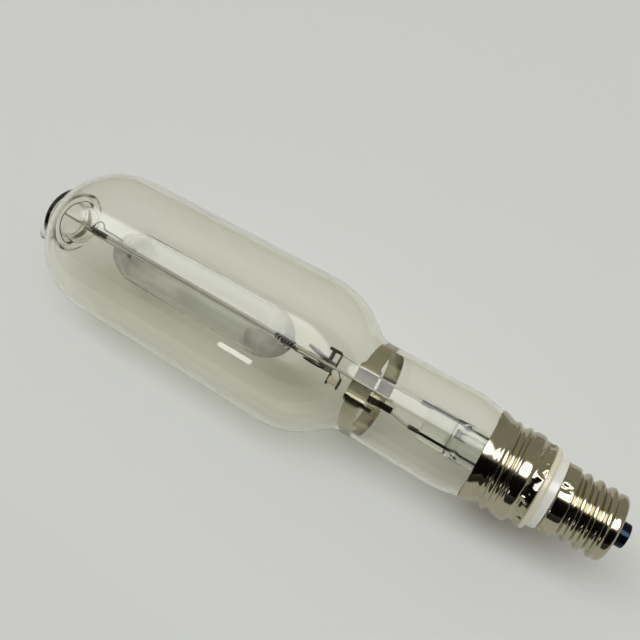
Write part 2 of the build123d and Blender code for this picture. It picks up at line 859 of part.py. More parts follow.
# Strap round the base pinch, with an ear out to the long rod
strap_at = pinch_base_at + 6.0
ear_reach = rod_height(strap_at + strap_width) - frame_rod_radius - 0.05
with BuildPart() as pinch_strap:
    with BuildSketch(section_at(strap_at)):
        RectangleRounded(pinch_width + 2 * strap_thickness, pinch_thickness + 2 * strap_thickness, 1.2)
        with Locations(((pinch_width / 2 + ear_reach) / 2, rod_side)):
            Rectangle(ear_reach - pinch_width / 2, strap_thickness)
        RectangleRounded(pinch_width, pinch_thickness, 0.9, mode=Mode.SUBTRACT)
    extrude(amount=strap_width)

# Cross post: a post from the base lead with a bar across its head
with BuildPart() as cross_post:
    with BuildSketch(Plane(origin=spot(post_at, 0, -pinch_thickness / 2), z_dir=spot(0, 0, -1))):
        Circle(cross_post_radius)
    extrude(amount=strap_thickness + cross_post_height)
    with BuildSketch(section_at(pinch_base_at - 2.4 + press_wire_radius)):
        with Locations((0, post_top)):
            Circle(cross_post_radius * 0.8)
    extrude(amount=post_at - pinch_base_at + 4.4)

# Thin jumper from the cross post's head to the return rod
jumper_wire = wire_along(
    [
        spot(pinch_base_at - 2.4 - press_wire_radius - 0.1, 0, -post_top + 0.4),
        spot(rod_start + return_rod_length + 0.1, 0, -return_offset),
    ],
    None,
    thin_wire_radius,
)

# Starter: a ceramic body between two toothed clips
starter_end_at = pinch_base_at - 2.6 - press_wire_radius * 0.8 - clip_thickness
starter_start_at = starter_end_at - starter_length
with BuildPart() as starter_body:
    with BuildSketch(section_at(starter_start_at)):
        with Locations((starting_offset, -starter_offset)):
            Circle(starter_radius)
    extrude(amount=starter_length)
    fillet(starter_body.edges(), 0.3)


def starter_clip(start_at):
    # A small plate with teeth along its outer edge.
    with BuildPart() as clip:
        with BuildSketch(section_at(start_at)):
            with Locations((starting_offset, -starter_offset)):
                Rectangle(2.2, clip_height)
            with Locations((starting_offset + 1.1, -starter_offset)):
                with GridLocations(0, clip_height / 3, 1, 3):
                    Rectangle(1.0, clip_height / 6)
        extrude(amount=clip_thickness)
    return clip


starter_clip_inner = starter_clip(starter_end_at)
starter_clip_outer = starter_clip(starter_start_at - clip_thickness)
link_at = starter_start_at - clip_thickness - thin_wire_radius
link_drop = frame_rod_radius + 0.08
neck_lean = (rod_in_neck - rod_beside_base) / (rod_slope_start.X - rod_in_neck_end_at)
link_top = rod_in_neck - neck_lean * (link_at - rod_in_neck_end_at) - link_drop
starter_link = wire_along(
    [
        spot(link_at, starting_offset, starter_offset),
        spot(link_at, starting_offset + 5.0, 2.2),
        spot(link_at, link_top, -0.5),
    ],
    [6.0],
    thin_wire_radius,
)

# Getter: a small loop on a thin wire beside the dome end of the long rod
getter_at = sleeve_start_at + sleeve_length + getter_reach
getter_weld_side = rod_side + frame_rod_radius + thin_wire_radius
with BuildPart() as getter_loop:
    with BuildSketch(Plane(origin=spot(getter_at, getter_height, -getter_side), z_dir=spot(0, 1, 0))):
        Circle(getter_radius)
        Circle(getter_radius - 2 * thin_wire_radius, mode=Mode.SUBTRACT)
    extrude(amount=2 * thin_wire_radius)
getter_wire = wire_along(
    [
        spot(getter_at - getter_radius - 1.8, rod_beside_dome - 0.4, -getter_weld_side),
        spot(getter_at - getter_radius - 1.0, getter_height + 0.8, 0.3 - getter_side),
        spot(getter_at - getter_radius - thin_wire_radius, getter_height + thin_wire_radius, -getter_side),
    ],
    [0.5],
    thin_wire_radius,
)

# Tab under the edge of the near spring
tab_edge = tab_offset + tab_width / 2
tab_height = sqrt((spring_radius - strip_thickness)**2 - tab_edge**2) - bracket_thickness / 2
with BuildPart() as mount_tab:
    with BuildSketch(near_plane.offset(-tab_offset - tab_width / 2)):
        with Locations((near_spring_at + tab_lap - tab_length / 2, tab_height)):
            Rectangle(tab_length, bracket_thickness)
    extrude(amount=tab_width)

for piece, name in (
    (centre_contact, "centre_contact"),
    (contact_insulator, "contact_insulator"),
    (small_screw_shell, "small_screw_shell"),
    (big_screw_shell, "big_screw_shell"),
    (ceramic_insulator, "ceramic_insulator"),
    (cap_cement, "cap_cement"),
    (outer_bulb, "outer_bulb"),
    (stem_press, "stem_press"),
    (return_wire, "press_wire_return"),
    (feed_wire, "press_wire_feed"),
    (return_rod, "return_rod"),
    (feed_rod, "feed_rod"),
    (weld_sleeve_return, "weld_sleeve_return"),
    (weld_sleeve_feed, "weld_sleeve_feed"),
    (frame_rod, "frame_rod"),
    (dome_ring, "dome_ring"),
    (neck_spring_near, "neck_spring_near"),
    (neck_spring_far, "neck_spring_far"),
    (mount_bracket, "mount_bracket"),
    (mount_tab, "mount_tab"),
    (quartz_sleeve, "quartz_sleeve"),
    (coil_stop_base, "coil_stop_base"),
    (coil_stop_dome, "coil_stop_dome"),
    (arc_tube, "arc_tube"),
    (electrode_base, "electrode_base"),
    (electrode_dome, "electrode_dome"),
    (starting_electrode, "starting_electrode"),
    (foil_base, "foil_base"),
    (foil_dome, "foil_dome"),
    (foil_starting, "foil_starting"),
    (base_lead, "base_lead"),
    (starting_lead, "starting_lead"),
    (dome_lead, "dome_lead"),
    (pinch_strap, "pinch_strap"),
    (cross_post, "cross_post"),
    (jumper_wire, "jumper_wire"),
    (starter_body, "starter_body"),
    (starter_clip_inner, "starter_clip_inner"),
    (starter_clip_outer, "starter_clip_outer"),
    (starter_link, "starter_link"),
    (getter_loop, "getter_loop"),
    (getter_wire, "getter_wire"),
):
    finish(piece, name)
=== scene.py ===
import bmesh
import bpy
import math
from mathutils import Matrix, Vector


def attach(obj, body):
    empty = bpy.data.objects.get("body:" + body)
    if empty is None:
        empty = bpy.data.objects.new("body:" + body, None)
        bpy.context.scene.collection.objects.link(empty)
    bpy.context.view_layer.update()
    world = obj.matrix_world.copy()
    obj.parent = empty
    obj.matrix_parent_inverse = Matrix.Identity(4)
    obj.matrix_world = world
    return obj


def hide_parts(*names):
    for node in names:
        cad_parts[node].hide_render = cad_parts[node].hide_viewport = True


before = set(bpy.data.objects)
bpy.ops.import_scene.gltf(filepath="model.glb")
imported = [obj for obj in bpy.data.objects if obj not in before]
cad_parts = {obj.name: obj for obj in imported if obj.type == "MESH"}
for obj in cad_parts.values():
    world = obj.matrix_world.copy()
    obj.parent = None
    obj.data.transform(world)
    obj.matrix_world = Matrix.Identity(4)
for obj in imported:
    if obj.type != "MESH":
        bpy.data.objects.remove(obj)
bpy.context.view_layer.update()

# The lamp lies along X: contact at the origin towards +X, dome towards -X.
# Sizes are in millimetres here and become metres in mm().
milli = 0.001
nearTurn = math.radians(52.5)  # how far the mount's near side is turned up from the floor


def mm(value):
    return value * milli


def spot(along, near=0.0, feed=0.0):
    # A point given along the lamp from the contact, towards the near side and the feed side
    c, s = math.cos(nearTurn), math.sin(nearTurn)
    return Vector((-along, -near * c - feed * s, near * s - feed * c)) * milli


print("frame loaded:", len(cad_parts), "nodes")


def linear(hexColour):
    # sRGB hex to a linear colour
    parts = [int(hexColour[i:i + 2], 16) / 255 for i in (1, 3, 5)]
    return tuple(p / 12.92 if p <= 0.04045 else ((p + 0.055) / 1.055) ** 2.4 for p in parts) + (1.0,)


def addNode(tree, kind, settings=None, **inputs):
    # One node with its settings; an input is a value or another node's output, and i2 is the third socket
    node = tree.nodes.new(kind)
    for name, value in (settings or {}).items():
        setattr(node, name, value)
    for name, value in inputs.items():
        numbered = name[0] == "i" and name[1:].isdigit()
        socket = node.inputs[int(name[1:]) if numbered else name.replace("_", " ")]
        if isinstance(value, bpy.types.NodeSocket):
            tree.links.new(value, socket)
        else:
            socket.default_value = value
    return node


def newMaterial(name):
    material = bpy.data.materials.new(name)
    material.use_nodes = True
    material.node_tree.nodes.clear()
    return material, material.node_tree


def shaderOut(tree, surface, volume=None):
    out = addNode(tree, "ShaderNodeOutputMaterial")
    tree.links.new(surface, out.inputs["Surface"])
    if volume is not None:
        tree.links.new(volume, out.inputs["Volume"])


def cloudPattern(tree, size, detail):
    # Soft clouds of a size in millimetres, fixed to the piece
    place = addNode(tree, "ShaderNodeTexCoord").outputs["Object"]
    return addNode(tree, "ShaderNodeTexNoise", Vector=place, Scale=1 / mm(size), Detail=detail)


def glassMaterial(name, colour, ior, waveSize, waveStrength, tint=None, density=0.0):
    # Clear and glossy, with long waves from the drawing; light rays pass it, so that its shadow stays pale
    material, tree = newMaterial(name)
    waves = cloudPattern(tree, waveSize, 2.0).outputs["Fac"]
    bump = addNode(tree, "ShaderNodeBump", Strength=waveStrength, Distance=mm(0.2), Height=waves)
    glass = addNode(
        tree, "ShaderNodeBsdfPrincipled",
        Base_Color=linear(colour), Roughness=0.0, IOR=ior, Transmission_Weight=1.0,
        Normal=bump.outputs["Normal"],
    )
    clear = addNode(tree, "ShaderNodeBsdfTransparent", Color=linear("#fdfdfc"))
    path = addNode(tree, "ShaderNodeLightPath")
    mix = addNode(
        tree, "ShaderNodeMixShader",
        i0=path.outputs["Is Shadow Ray"], i1=glass.outputs[0], i2=clear.outputs[0],
    )
    volume = None
    if tint:
        volume = addNode(tree, "ShaderNodeVolumeAbsorption", Color=linear(tint), Density=density).outputs[0]
    shaderOut(tree, mix.outputs[0], volume)
    return material


def metalMaterial(name, colour, roughness, grain, grainSize, patch=None, patchShare=0.0):
    # A metal: grain is the strength of its drawing or rolling marks, and patch a tarnish in soft clouds
    material, tree = newMaterial(name)
    metal = addNode(
        tree, "ShaderNodeBsdfPrincipled",
        Base_Color=linear(colour), Metallic=1.0, Roughness=roughness,
    )
    if patch:
        clouds = cloudPattern(tree, tarnish["size"], 4.0)
        ramp = addNode(tree, "ShaderNodeMapRange", Value=clouds.outputs["Fac"])
        ramp.inputs["From Min"].default_value = tarnish["from"]
        ramp.inputs["From Max"].default_value = tarnish["full"]
        ramp.inputs["To Max"].default_value = patchShare
        mix = addNode(
            tree, "ShaderNodeMix", {"data_type": "RGBA"},
            Factor=ramp.outputs["Result"], i6=linear(colour), i7=linear(patch),
        )
        tree.links.new(mix.outputs[2], metal.inputs["Base Color"])
    place = addNode(tree, "ShaderNodeTexCoord")
    stretch = addNode(tree, "ShaderNodeMapping", Vector=place.outputs["Object"])
    stretch.inputs["Scale"].default_value = [1 / mm(size) for size in grainSize]
    marks = addNode(tree, "ShaderNodeTexNoise", Vector=stretch.outputs["Vector"], Scale=1.0, Detail=3.0)
    rough = addNode(tree, "ShaderNodeMapRange", Value=marks.outputs["Fac"])
    rough.inputs["To Min"].default_value = roughness - grain
    rough.inputs["To Max"].default_value = roughness + grain
    tree.links.new(rough.outputs["Result"], metal.inputs["Roughness"])
    bump = addNode(tree, "ShaderNodeBump", Strength=grain, Distance=mm(0.05), Height=marks.outputs["Fac"])
    tree.links.new(bump.outputs["Normal"], metal.inputs["Normal"])
    shaderOut(tree, metal.outputs[0])
    return material


def mineralMaterial(name, low, high, roughness, clouds, glaze=0.0, texture=0.1):
    # A non-metal between two close colours: ceramic, cement, black glass or oxide powder
    material, tree = newMaterial(name)
    noise = cloudPattern(tree, clouds, 5.0)
    mix = addNode(
        tree, "ShaderNodeMix", {"data_type": "RGBA"},
        Factor=noise.outputs["Fac"], i6=linear(low), i7=linear(high),
    )
    fine = cloudPattern(tree, clouds / 8, 3.0)
    bump = addNode(tree, "ShaderNodeBump", Strength=texture, Distance=mm(0.1), Height=fine.outputs["Fac"])
    skin = addNode(
        tree, "ShaderNodeBsdfPrincipled",
        Base_Color=mix.outputs[2], Roughness=roughness, IOR=1.5, Coat_Weight=glaze, Coat_Roughness=0.06,
        Normal=bump.outputs["Normal"],
    )
    shaderOut(tree, skin.outputs[0])
    return material


# Materials, each named for what the real piece is made of. Grain sizes are (along, across, across).
tarnish = {"size": 9.0, "from": 0.45, "full": 0.75}

# Borosilicate, blown: nearly colourless, a warm tint where the eye looks along the wall, long faint waves
bulbGlass = glassMaterial("blownBulbGlass", "#fbfbf8", 1.47, 26.0, 0.02, tint="#fff7a8", density=26.0)

# Stem glass, pressed hot with pincers: short ripples that break up what lies behind
stemGlass = glassMaterial("pressedStemGlass", "#fbfdfa", 1.5, 4.0, 0.15)

# Fused quartz, drawn: the clearest of the three, with soft draw waves
quartzGlass = glassMaterial("fusedQuartz", "#fbfcfb", 1.45, 9.0, 0.05)

# Nickel on rolled brass: a warm grey mirror, olive where the plating has dulled
nickelShell = metalMaterial("nickelPlatedBrass", "#b3ac95", 0.12, 0.04, (0.6, 6.0, 6.0), "#8d8159", 0.4)

# Drawn nickel rod: bright lines along it
nickelWire = metalMaterial("drawnNickelWire", "#c9c6bd", 0.16, 0.05, (4.0, 0.3, 0.3))

# Rolled spring strip: a satin olive mirror with marks across the roll
springStrip = metalMaterial("rolledSpringStrip", "#bdb8a2", 0.16, 0.06, (0.5, 4.0, 4.0), "#8d8567", 0.3)

# Strip and hoop that were fired with the mount: a scale from grey to near black, with dull highlights
darkStrip = metalMaterial("oxidisedStrip", "#383734", 0.36, 0.1, (1.0, 1.0, 1.0), "#1c1c1a", 0.6)
hoopStrip = metalMaterial("oxidisedHoop", "#6d6a5f", 0.3, 0.08, (1.0, 1.0, 1.0), "#3a3933", 0.6)

# Wire that was sealed in hot glass: black on the leads, a brown grey on the finer wires
blackenedLead = metalMaterial("blackenedLead", "#2b2926", 0.36, 0.08, (0.4, 0.4, 0.4))
darkWire = metalMaterial("oxidisedWire", "#4b4843", 0.28, 0.08, (0.4, 0.4, 0.4))

# Drawn tungsten and rolled molybdenum: cool greys, duller than nickel
tungstenWire = metalMaterial("drawnTungsten", "#6f6f72", 0.3, 0.06, (2.0, 0.2, 0.2))
foilMetal = metalMaterial("molybdenumFoil", "#8f8d89", 0.35, 0.05, (1.0, 0.4, 0.4))

# Heat-blued contact: near black, with a blue sheen at its edge
bluedContact = metalMaterial("bluedContact", "#1f2a38", 0.2, 0.05, (1.0, 1.0, 1.0), "#0a0d12", 0.8)

# Glazed steatite: white with a wet shine, and cream where heat has aged the glaze
glazedCeramic = mineralMaterial("glazedSteatite", "#fdfcf9", "#f6f4ee", 0.28, 6.0, glaze=0.6, texture=0.05)
agedGlaze = mineralMaterial("agedGlaze", "#f6efdc", "#ebe1c8", 0.3, 5.0, glaze=0.6, texture=0.05)

# Unglazed ceramic of the starter: a matt cream
creamCeramic = mineralMaterial("creamCeramic", "#e9dfc6", "#d8cbac", 0.55, 1.5)

# Capping cement: a rough grey buff paste
cementPaste = mineralMaterial("cappingCement", "#cfc9bc", "#b5ad9c", 0.8, 1.0, texture=0.4)

# Black glass cast round the contact: a deep gloss
blackGlass = mineralMaterial("insulatorGlass", "#0a0b10", "#131620", 0.12, 4.0, glaze=0.5, texture=0.03)

# Every node that isn't named here is nickel wire
nodeMaterials = {
    "outer_bulb": bulbGlass, "stem_press": stemGlass, "arc_tube": quartzGlass, "quartz_sleeve": quartzGlass,
    "contact_insulator": blackGlass, "centre_contact": bluedContact, "cap_cement": cementPaste,
    "big_screw_shell": nickelShell, "small_screw_shell": nickelShell, "ceramic_insulator": glazedCeramic,
    "starter_body": creamCeramic, "dome_ring": springStrip, "neck_spring_near": springStrip,
    "neck_spring_far": springStrip, "mount_bracket": darkStrip, "mount_tab": darkStrip,
    "pinch_strap": darkStrip, "cross_post": darkStrip, "starter_clip_inner": darkStrip,
    "starter_clip_outer": darkStrip, "electrode_base": tungstenWire, "electrode_dome": tungstenWire,
    "starting_electrode": tungstenWire, "press_wire_return": blackenedLead,
    "press_wire_feed": blackenedLead, "weld_sleeve_return": darkWire, "weld_sleeve_feed": darkWire,
    "base_lead": darkWire, "starting_lead": darkWire, "starter_link": darkWire,
    "foil_base": foilMetal, "foil_dome": foilMetal, "foil_starting": foilMetal,
}
for nodeName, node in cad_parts.items():
    node.data.materials.clear()
    node.data.materials.append(nodeMaterials.get(nodeName, nickelWire))
print("materials made")


def finishPiece(bm, name, material, replaced=(), recalc=True):
    # Turns a bmesh into a smooth piece that rides on the lamp
    bmesh.ops.remove_doubles(bm, verts=bm.verts, dist=mm(0.001))
    if recalc:
        bmesh.ops.recalc_face_normals(bm, faces=bm.faces)
    mesh = bpy.data.meshes.new(name)
    bm.to_mesh(mesh)
    bm.free()
    mesh.polygons.foreach_set("use_smooth", [True] * len(mesh.polygons))
    piece = bpy.data.objects.new(name, mesh)
    bpy.context.scene.collection.objects.link(piece)
    mesh.materials.append(material)
    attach(piece, "root")
    if replaced:
        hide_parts(*replaced)
    return piece


def lathe(points, steps):
    # A chain of edges through points given as (along, radius), spun once round the lamp's axis
    bm = bmesh.new()
    verts = [bm.verts.new((-mm(s), 0.0, mm(r))) for s, r in points]
    edges = [bm.edges.new(pair) for pair in zip(verts, verts[1:])]
    bmesh.ops.spin(
        bm, geom=verts + edges, cent=(0, 0, 0), axis=(1, 0, 0), angle=2 * math.pi, steps=steps,
        use_merge=True,
    )
    return bm


def arcRun(centre, radius, start, end, count):
    # Points on an arc, angles in degrees from the lamp's axis
    run = []
    for i in range(count + 1):
        turn = math.radians(start + (end - start) * i / count)
        run.append((centre[0] + radius * math.cos(turn), centre[1] + radius * math.sin(turn)))
    return run


# Outer bulb: blown glass, its two skins spun in one closed wall
bulb = {
    "wall": 1.6, "sealAt": 52.6, "sealRadius": 16.3, "rimAt": 63.35, "rimRadius": 20.6, "neckRadius": 23.2,
    "neckFlare": 13.7, "filletRadius": 12.0, "shoulderRadius": 43.5, "shoulderEndAt": 158.6,
    "tubeRadius": 38.4, "tubeBand": 22.5, "domeAt": 271.2, "lipAt": 312.2, "lipRadius": 16.8,
    "lipFoot": 2.4, "lipHeight": 3.3, "dimpleRadius": 10.7, "dimpleDepth": 15.4, "steps": 224,
}


def blownLine(depth):
    # The glass line at a depth below the outside, from the seal to the foot of the dome's lip
    b = bulb
    neckRise = b["neckRadius"] - b["rimRadius"]
    flareRadius = (b["neckFlare"] ** 2 + neckRise ** 2) / (2 * neckRise)
    slope = math.degrees(math.asin(b["neckFlare"] / flareRadius))
    flareAt = b["rimAt"] + b["neckFlare"]
    line = [(b["sealAt"], b["sealRadius"] - depth / math.cos(math.radians(slope)))]
    line += arcRun((flareAt, b["neckRadius"] - flareRadius), flareRadius - depth, 90 + slope, 90, 14)
    rise = b["neckRadius"] + b["filletRadius"] - b["tubeRadius"] + b["shoulderRadius"]
    reach = b["shoulderRadius"] + b["filletRadius"]
    run = math.sqrt(reach ** 2 - rise ** 2)
    bend = math.degrees(math.asin(run / reach))
    neckEnd = b["shoulderEndAt"] - run
    line += [(neckEnd - 20, b["neckRadius"] - depth), (neckEnd - 8, b["neckRadius"] - depth)]
    filletCentre = (neckEnd, b["neckRadius"] + b["filletRadius"])
    line += arcRun(filletCentre, b["filletRadius"] + depth, -90, -90 + bend, 22)
    shoulderCentre = (b["shoulderEndAt"], b["tubeRadius"] - b["shoulderRadius"])
    line += arcRun(shoulderCentre, b["shoulderRadius"] - depth, 90 + bend, 90, 34)
    line += [(b["shoulderEndAt"] + k * b["tubeBand"], b["tubeRadius"] - depth) for k in range(1, 5)]
    foot = b["lipRadius"] + b["lipFoot"] - depth
    footTurn = math.degrees(math.asin(foot / (b["tubeRadius"] - depth)))
    line += arcRun((b["domeAt"], 0), b["tubeRadius"] - depth, 90, footTurn, 44)
    return line


def roundedRun(corners, radii, count=7):
    # A run of straight lines with rounded corners, as points
    run = [corners[0]]
    for before, corner, after, radius in zip(corners, corners[1:], corners[2:], radii):
        a, c, z = Vector(before), Vector(corner), Vector(after)
        toA, toZ = (a - c).normalized(), (z - c).normalized()
        half = toA.angle(toZ) / 2
        middle = c + (toA + toZ).normalized() * (radius / math.sin(half))
        start, end = c + toA * (radius / math.tan(half)), c + toZ * (radius / math.tan(half))
        for i in range(count + 1):
            share = (start - middle).slerp(end - middle, i / count)
            run.append(tuple(middle + share.normalized() * radius))
    run.append(corners[-1])
    return run


def buildBulb():
    # Outside and inside from the seal to the middle of the dimple, spun together so that the wall is closed
    b = bulb
    bore = b["dimpleRadius"] - b["wall"]
    root = b["lipAt"] - b["lipHeight"]
    end = b["lipAt"] - b["dimpleDepth"]
    outer = blownLine(0)
    foot = outer[-1]
    corners = [
        foot, (foot[0] + 0.9, b["lipRadius"] + 0.9), (b["lipAt"], b["lipRadius"]), (b["lipAt"], bore + 4.2),
        (root + 1.8, bore), (end + b["wall"], bore), (end + b["wall"], 0.0),
    ]
    outer += roundedRun(corners, [0.8, 1.9, 2.6, 2.4, 3.5])[1:]
    inner = blownLine(b["wall"])
    foot = inner[-1]
    corners = [
        foot, (foot[0] + 1.0, foot[1] - 1.6), (root, b["lipRadius"] - 1.9), (root, b["dimpleRadius"]),
        (end, b["dimpleRadius"]), (end, 0.0),
    ]
    inner += roundedRun(corners, [0.8, 1.4, 1.4, 4.5])[1:]
    bm = lathe(list(reversed(inner)) + outer, b["steps"])
    finishPiece(bm, "bulbGlassBlown", bulbGlass, ("outer_bulb",))


buildBulb()
print("bulb blown")


# Exhaust tip: the melted nub on the dome's lip where the pump tube was sealed off.
# Its outline is in shares of the height and the radius.
tip = {
    "along": 310.9, "out": 16.0, "turn": 37.0, "radius": 3.1, "height": 3.6, "steps": 28,
    "outline": [(0.0, 1.25), (0.25, 1.0), (0.5, 0.78), (0.75, 0.52), (0.92, 0.28), (1.0, 0.0)],
}


def buildTip():
    t = tip
    bm = lathe([(h * t["height"], r * t["radius"]) for h, r in t["outline"]], t["steps"])
    bmesh.ops.remove_doubles(bm, verts=bm.verts, dist=mm(0.001))
    bmesh.ops.edgeloop_fill(bm, edges=[edge for edge in bm.edges if edge.is_boundary])
    turn = math.radians(t["turn"])
    seat = spot(t["along"], t["out"] * math.sin(turn), t["out"] * math.cos(turn))
    bmesh.ops.translate(bm, vec=seat, verts=bm.verts)
    finishPiece(bm, "exhaustTip", stemGlass)


buildTip()

# Screw shells: rolled sheet, the thread a true helix between two plain ends
thread = {"pitch": 5.2, "sheet": 0.4, "steps": 256, "rowLength": 0.2, "flatness": 0.85}
smallShell = {
    "line": [
        (5.5, 12.0), (5.5, 12.9), (5.62, 13.5), (5.95, 14.0), (6.4, 14.35), (7.0, 14.55), (7.6, 14.6),
        (8.0, 14.5),
    ],
    "crest": 15.1, "root": 13.3, "crestAt": 19.8, "fade": 2.4, "fadeEnd": 2.4,
    "after": [(26.6, 15.36), (27.0, 15.4), (28.2, 15.4), (29.4, 15.4), (30.4, 15.4), (31.3, 15.38)],
}
bigShell = {
    "line": [
        (38.1, 18.55), (38.5, 18.7), (39.4, 18.7), (40.4, 18.7), (41.3, 18.7), (42.1, 18.72), (42.7, 18.9),
        (43.2, 19.35), (43.7, 19.85), (44.3, 20.08), (45.0, 20.12), (46.2, 20.12), (47.2, 20.1),
        (47.8, 19.95), (48.3, 19.6), (48.8, 19.25),
    ],
    "crest": 20.15, "root": 18.65, "crestAt": 53.1, "fade": 1.4, "fadeEnd": 3.2,
    "after": [
        (58.2, 19.7), (59.2, 20.15), (60.3, 20.65), (61.4, 21.05), (62.4, 21.3), (63.0, 21.42),
        (63.3, 21.5),
    ],
}


def angleOf(point):
    # Angle round the axis in radians: 0 on the feed side, a quarter turn on the near side
    near = spot(0, 1).normalized()
    feed = spot(0, 0, 1).normalized()
    return math.atan2(point.dot(near), point.dot(feed))


def smoothShare(value, low, high):
    share = min(1.0, max(0.0, (value - low) / (high - low)))
    return share * share * (3 - 2 * share)


def helixRadius(shell, along, turn):
    # Radius of the thread at a place; buildShell fades it in and out to the plain sheet beside it
    wave = math.cos(2 * math.pi * (along - shell["crestAt"]) / thread["pitch"] - turn)
    middle, swing = (shell["crest"] + shell["root"]) / 2, (shell["crest"] - shell["root"]) / 2
    return middle + swing * math.copysign(abs(wave) ** thread["flatness"], wave)


def buildShell(shell, name, node, dent):
    # The plain line is spun, then each point moves to the thread's radius less its dent
    start, end = Vector(shell["line"][-1]), Vector(shell["after"][0])
    count = int((end[0] - start[0]) / thread["rowLength"])
    middle = [tuple(start.lerp(end, k / count)) for k in range(1, count)]
    bm = lathe(shell["line"] + middle + shell["after"], thread["steps"])
    for vert in bm.verts:
        along = -vert.co.x / milli
        radial = Vector((0, vert.co.y, vert.co.z))
        radius = radial.length / milli
        turn = angleOf(vert.co)
        if start[0] < along < end[0]:
            share = smoothShare(along, start[0], start[0] + shell["fade"])
            share *= smoothShare(-along, -end[0], -end[0] + shell["fadeEnd"])
            radius = radius * (1 - share) + helixRadius(shell, along, turn) * share
        vert.co = Vector((vert.co.x, 0, 0)) + radial.normalized() * mm(radius - dent(along, turn))
    piece = finishPiece(bm, name, nickelShell, (node,))
    sheet = piece.modifiers.new("sheet", "SOLIDIFY")
    sheet.thickness = mm(thread["sheet"])
    sheet.offset = -1.0


def wrap(turn):
    return (turn + math.pi) % (2 * math.pi) - math.pi


# Crimp: punched scallops that lock the big shell on the ceramic, and cross punches round the small shell
crimp = {
    "count": 11, "at": 40.7, "reach": 2.3, "width": 0.235, "depth": 0.8, "start": 0.35, "slant": 0.1,
    "stagger": 0.4, "steepness": 2.2, "softness": 0.8,
}
crossPunch = {
    "count": 4, "at": 29.7, "turn": 1.9, "radius": 2.2, "depth": 0.45, "bar": 0.5, "barReach": 1.9,
    "barDepth": 0.6, "shellRadius": 15.4, "softness": 0.6,
}


def crimpDent(along, turn):
    # Each scallop is a slanted lens, deep at the ceramic's edge
    c = crimp
    step = 2 * math.pi / c["count"]
    nearest = round((turn - c["start"]) / step)
    side = 1 if nearest % 2 else -1
    off = wrap(turn - c["start"] - nearest * step)
    slant = off - side * c["slant"] * (along - c["at"])
    lens = 1 - (slant / c["width"]) ** 2 - ((along - c["at"] + c["stagger"] * side) / c["reach"]) ** 2
    return c["depth"] * min(1.0, c["steepness"] * max(0.0, lens)) ** c["softness"]


def crossDent(along, turn):
    # A shallow dish with two crossed bars sunk into it
    c = crossPunch
    step = 2 * math.pi / c["count"]
    off = wrap(turn - c["turn"])
    off = wrap(off - round(off / step) * step) * c["shellRadius"]
    rise = along - c["at"]
    dish = max(0.0, 1 - (off ** 2 + rise ** 2) / c["radius"] ** 2)
    across, reach = sorted((abs(off + rise) / math.sqrt(2), abs(off - rise) / math.sqrt(2)))
    arm = max(0.0, 1 - (across / c["bar"]) ** 2) if reach < c["barReach"] else 0.0
    return c["depth"] * dish ** c["softness"] + c["barDepth"] * arm


buildShell(bigShell, "bigShellRolled", "big_screw_shell", crimpDent)
buildShell(smallShell, "smallShellRolled", "small_screw_shell", crossDent)
print("screw shells rolled")

# Ceramic insulator: pressed and glazed, with rounded edges and a little out of round
ceramic = {
    "line": [
        (12.0, 9.4), (12.0, 12.6), (27.9, 12.6), (27.9, 13.6), (31.6, 13.7), (31.6, 16.1), (35.7, 16.3),
        (35.5, 18.5), (38.2, 18.5), (38.2, 17.2), (44.6, 17.2), (44.6, 14.8), (38.5, 14.8), (38.5, 9.4),
        (12.0, 9.4),
    ],
    "rounds": [0.3, 0.3, 0.3, 0.3, 0.6, 0.45, 0.9, 0.8, 0.15, 0.15, 0.3, 0.3, 0.3],
    "steps": 160, "waver": 0.06, "agedFrom": 35.3,
}


def buildCeramic():
    c = ceramic
    bm = lathe(roundedRun(c["line"], c["rounds"], 5), c["steps"])
    for vert in bm.verts:
        radial = Vector((0, vert.co.y, vert.co.z))
        turn = angleOf(vert.co)
        vert.co += radial.normalized() * mm(c["waver"] * math.sin(3 * turn + 1.0))
    for face in bm.faces:
        face.material_index = int(face.calc_center_median().x < -mm(c["agedFrom"]))
    piece = finishPiece(bm, "ceramicFired", glazedCeramic, ("ceramic_insulator",))
    piece.data.materials.append(agedGlaze)


# Contact: a pressed button with a slight crown and a soft edge
contact = {
    "radius": 5.35, "edge": 0.7, "crown": 0.175, "crownShare": 0.78, "chamfer": 0.2, "stand": 5.9,
    "shank": 2.5, "shankEnd": 12.3, "steps": 96,
}


def buildContact():
    c = contact
    face = [(c["crown"] * k * k / 16, c["radius"] * c["crownShare"] * k / 4) for k in range(5)]
    edge = arcRun((c["edge"] + c["crown"], c["radius"] - c["edge"]), c["edge"], 165, 90, 8)
    tail = [
        (c["stand"] - c["chamfer"], c["radius"]), (c["stand"], c["radius"] - c["chamfer"]),
        (c["stand"], c["shank"]), (c["shankEnd"], c["shank"]), (c["shankEnd"], 0.0),
    ]
    bm = lathe(face + edge + tail, c["steps"])
    finishPiece(bm, "contactPressed", bluedContact, ("centre_contact",))


buildCeramic()
buildContact()
print("ceramic and contact made")


# Arc tube: quartz drawn round, pinched flat at each end
quartz = {
    "radius": 13.2, "wall": 1.5, "baseTipAt": 164.8, "length": 105.4, "basePinchAt": 140.8,
    "domePinchAt": 290.2, "pinchHalfWidth": 8.5, "pinchHalfThick": 1.6, "widthBlend": 6, "thickBlend": 2.2,
    "squareness": 4, "endRound": 0.7, "endReach": 0.8, "ripple": 0.12, "ripplePace": 2.1,
    "rippleFrom": 4.0, "tipTurn": 4.0, "steps": 96,
}


def ringPoints(along, halfNear, halfFeed, power, steps):
    # One superellipse ring round the axis
    ring = []
    for k in range(steps):
        turn = 2 * math.pi * k / steps
        c, s = math.cos(turn), math.sin(turn)
        near = halfNear * math.copysign(abs(c) ** (2 / power), c)
        feed = halfFeed * math.copysign(abs(s) ** (2 / power), s)
        ring.append(spot(along, near, feed))
    return ring


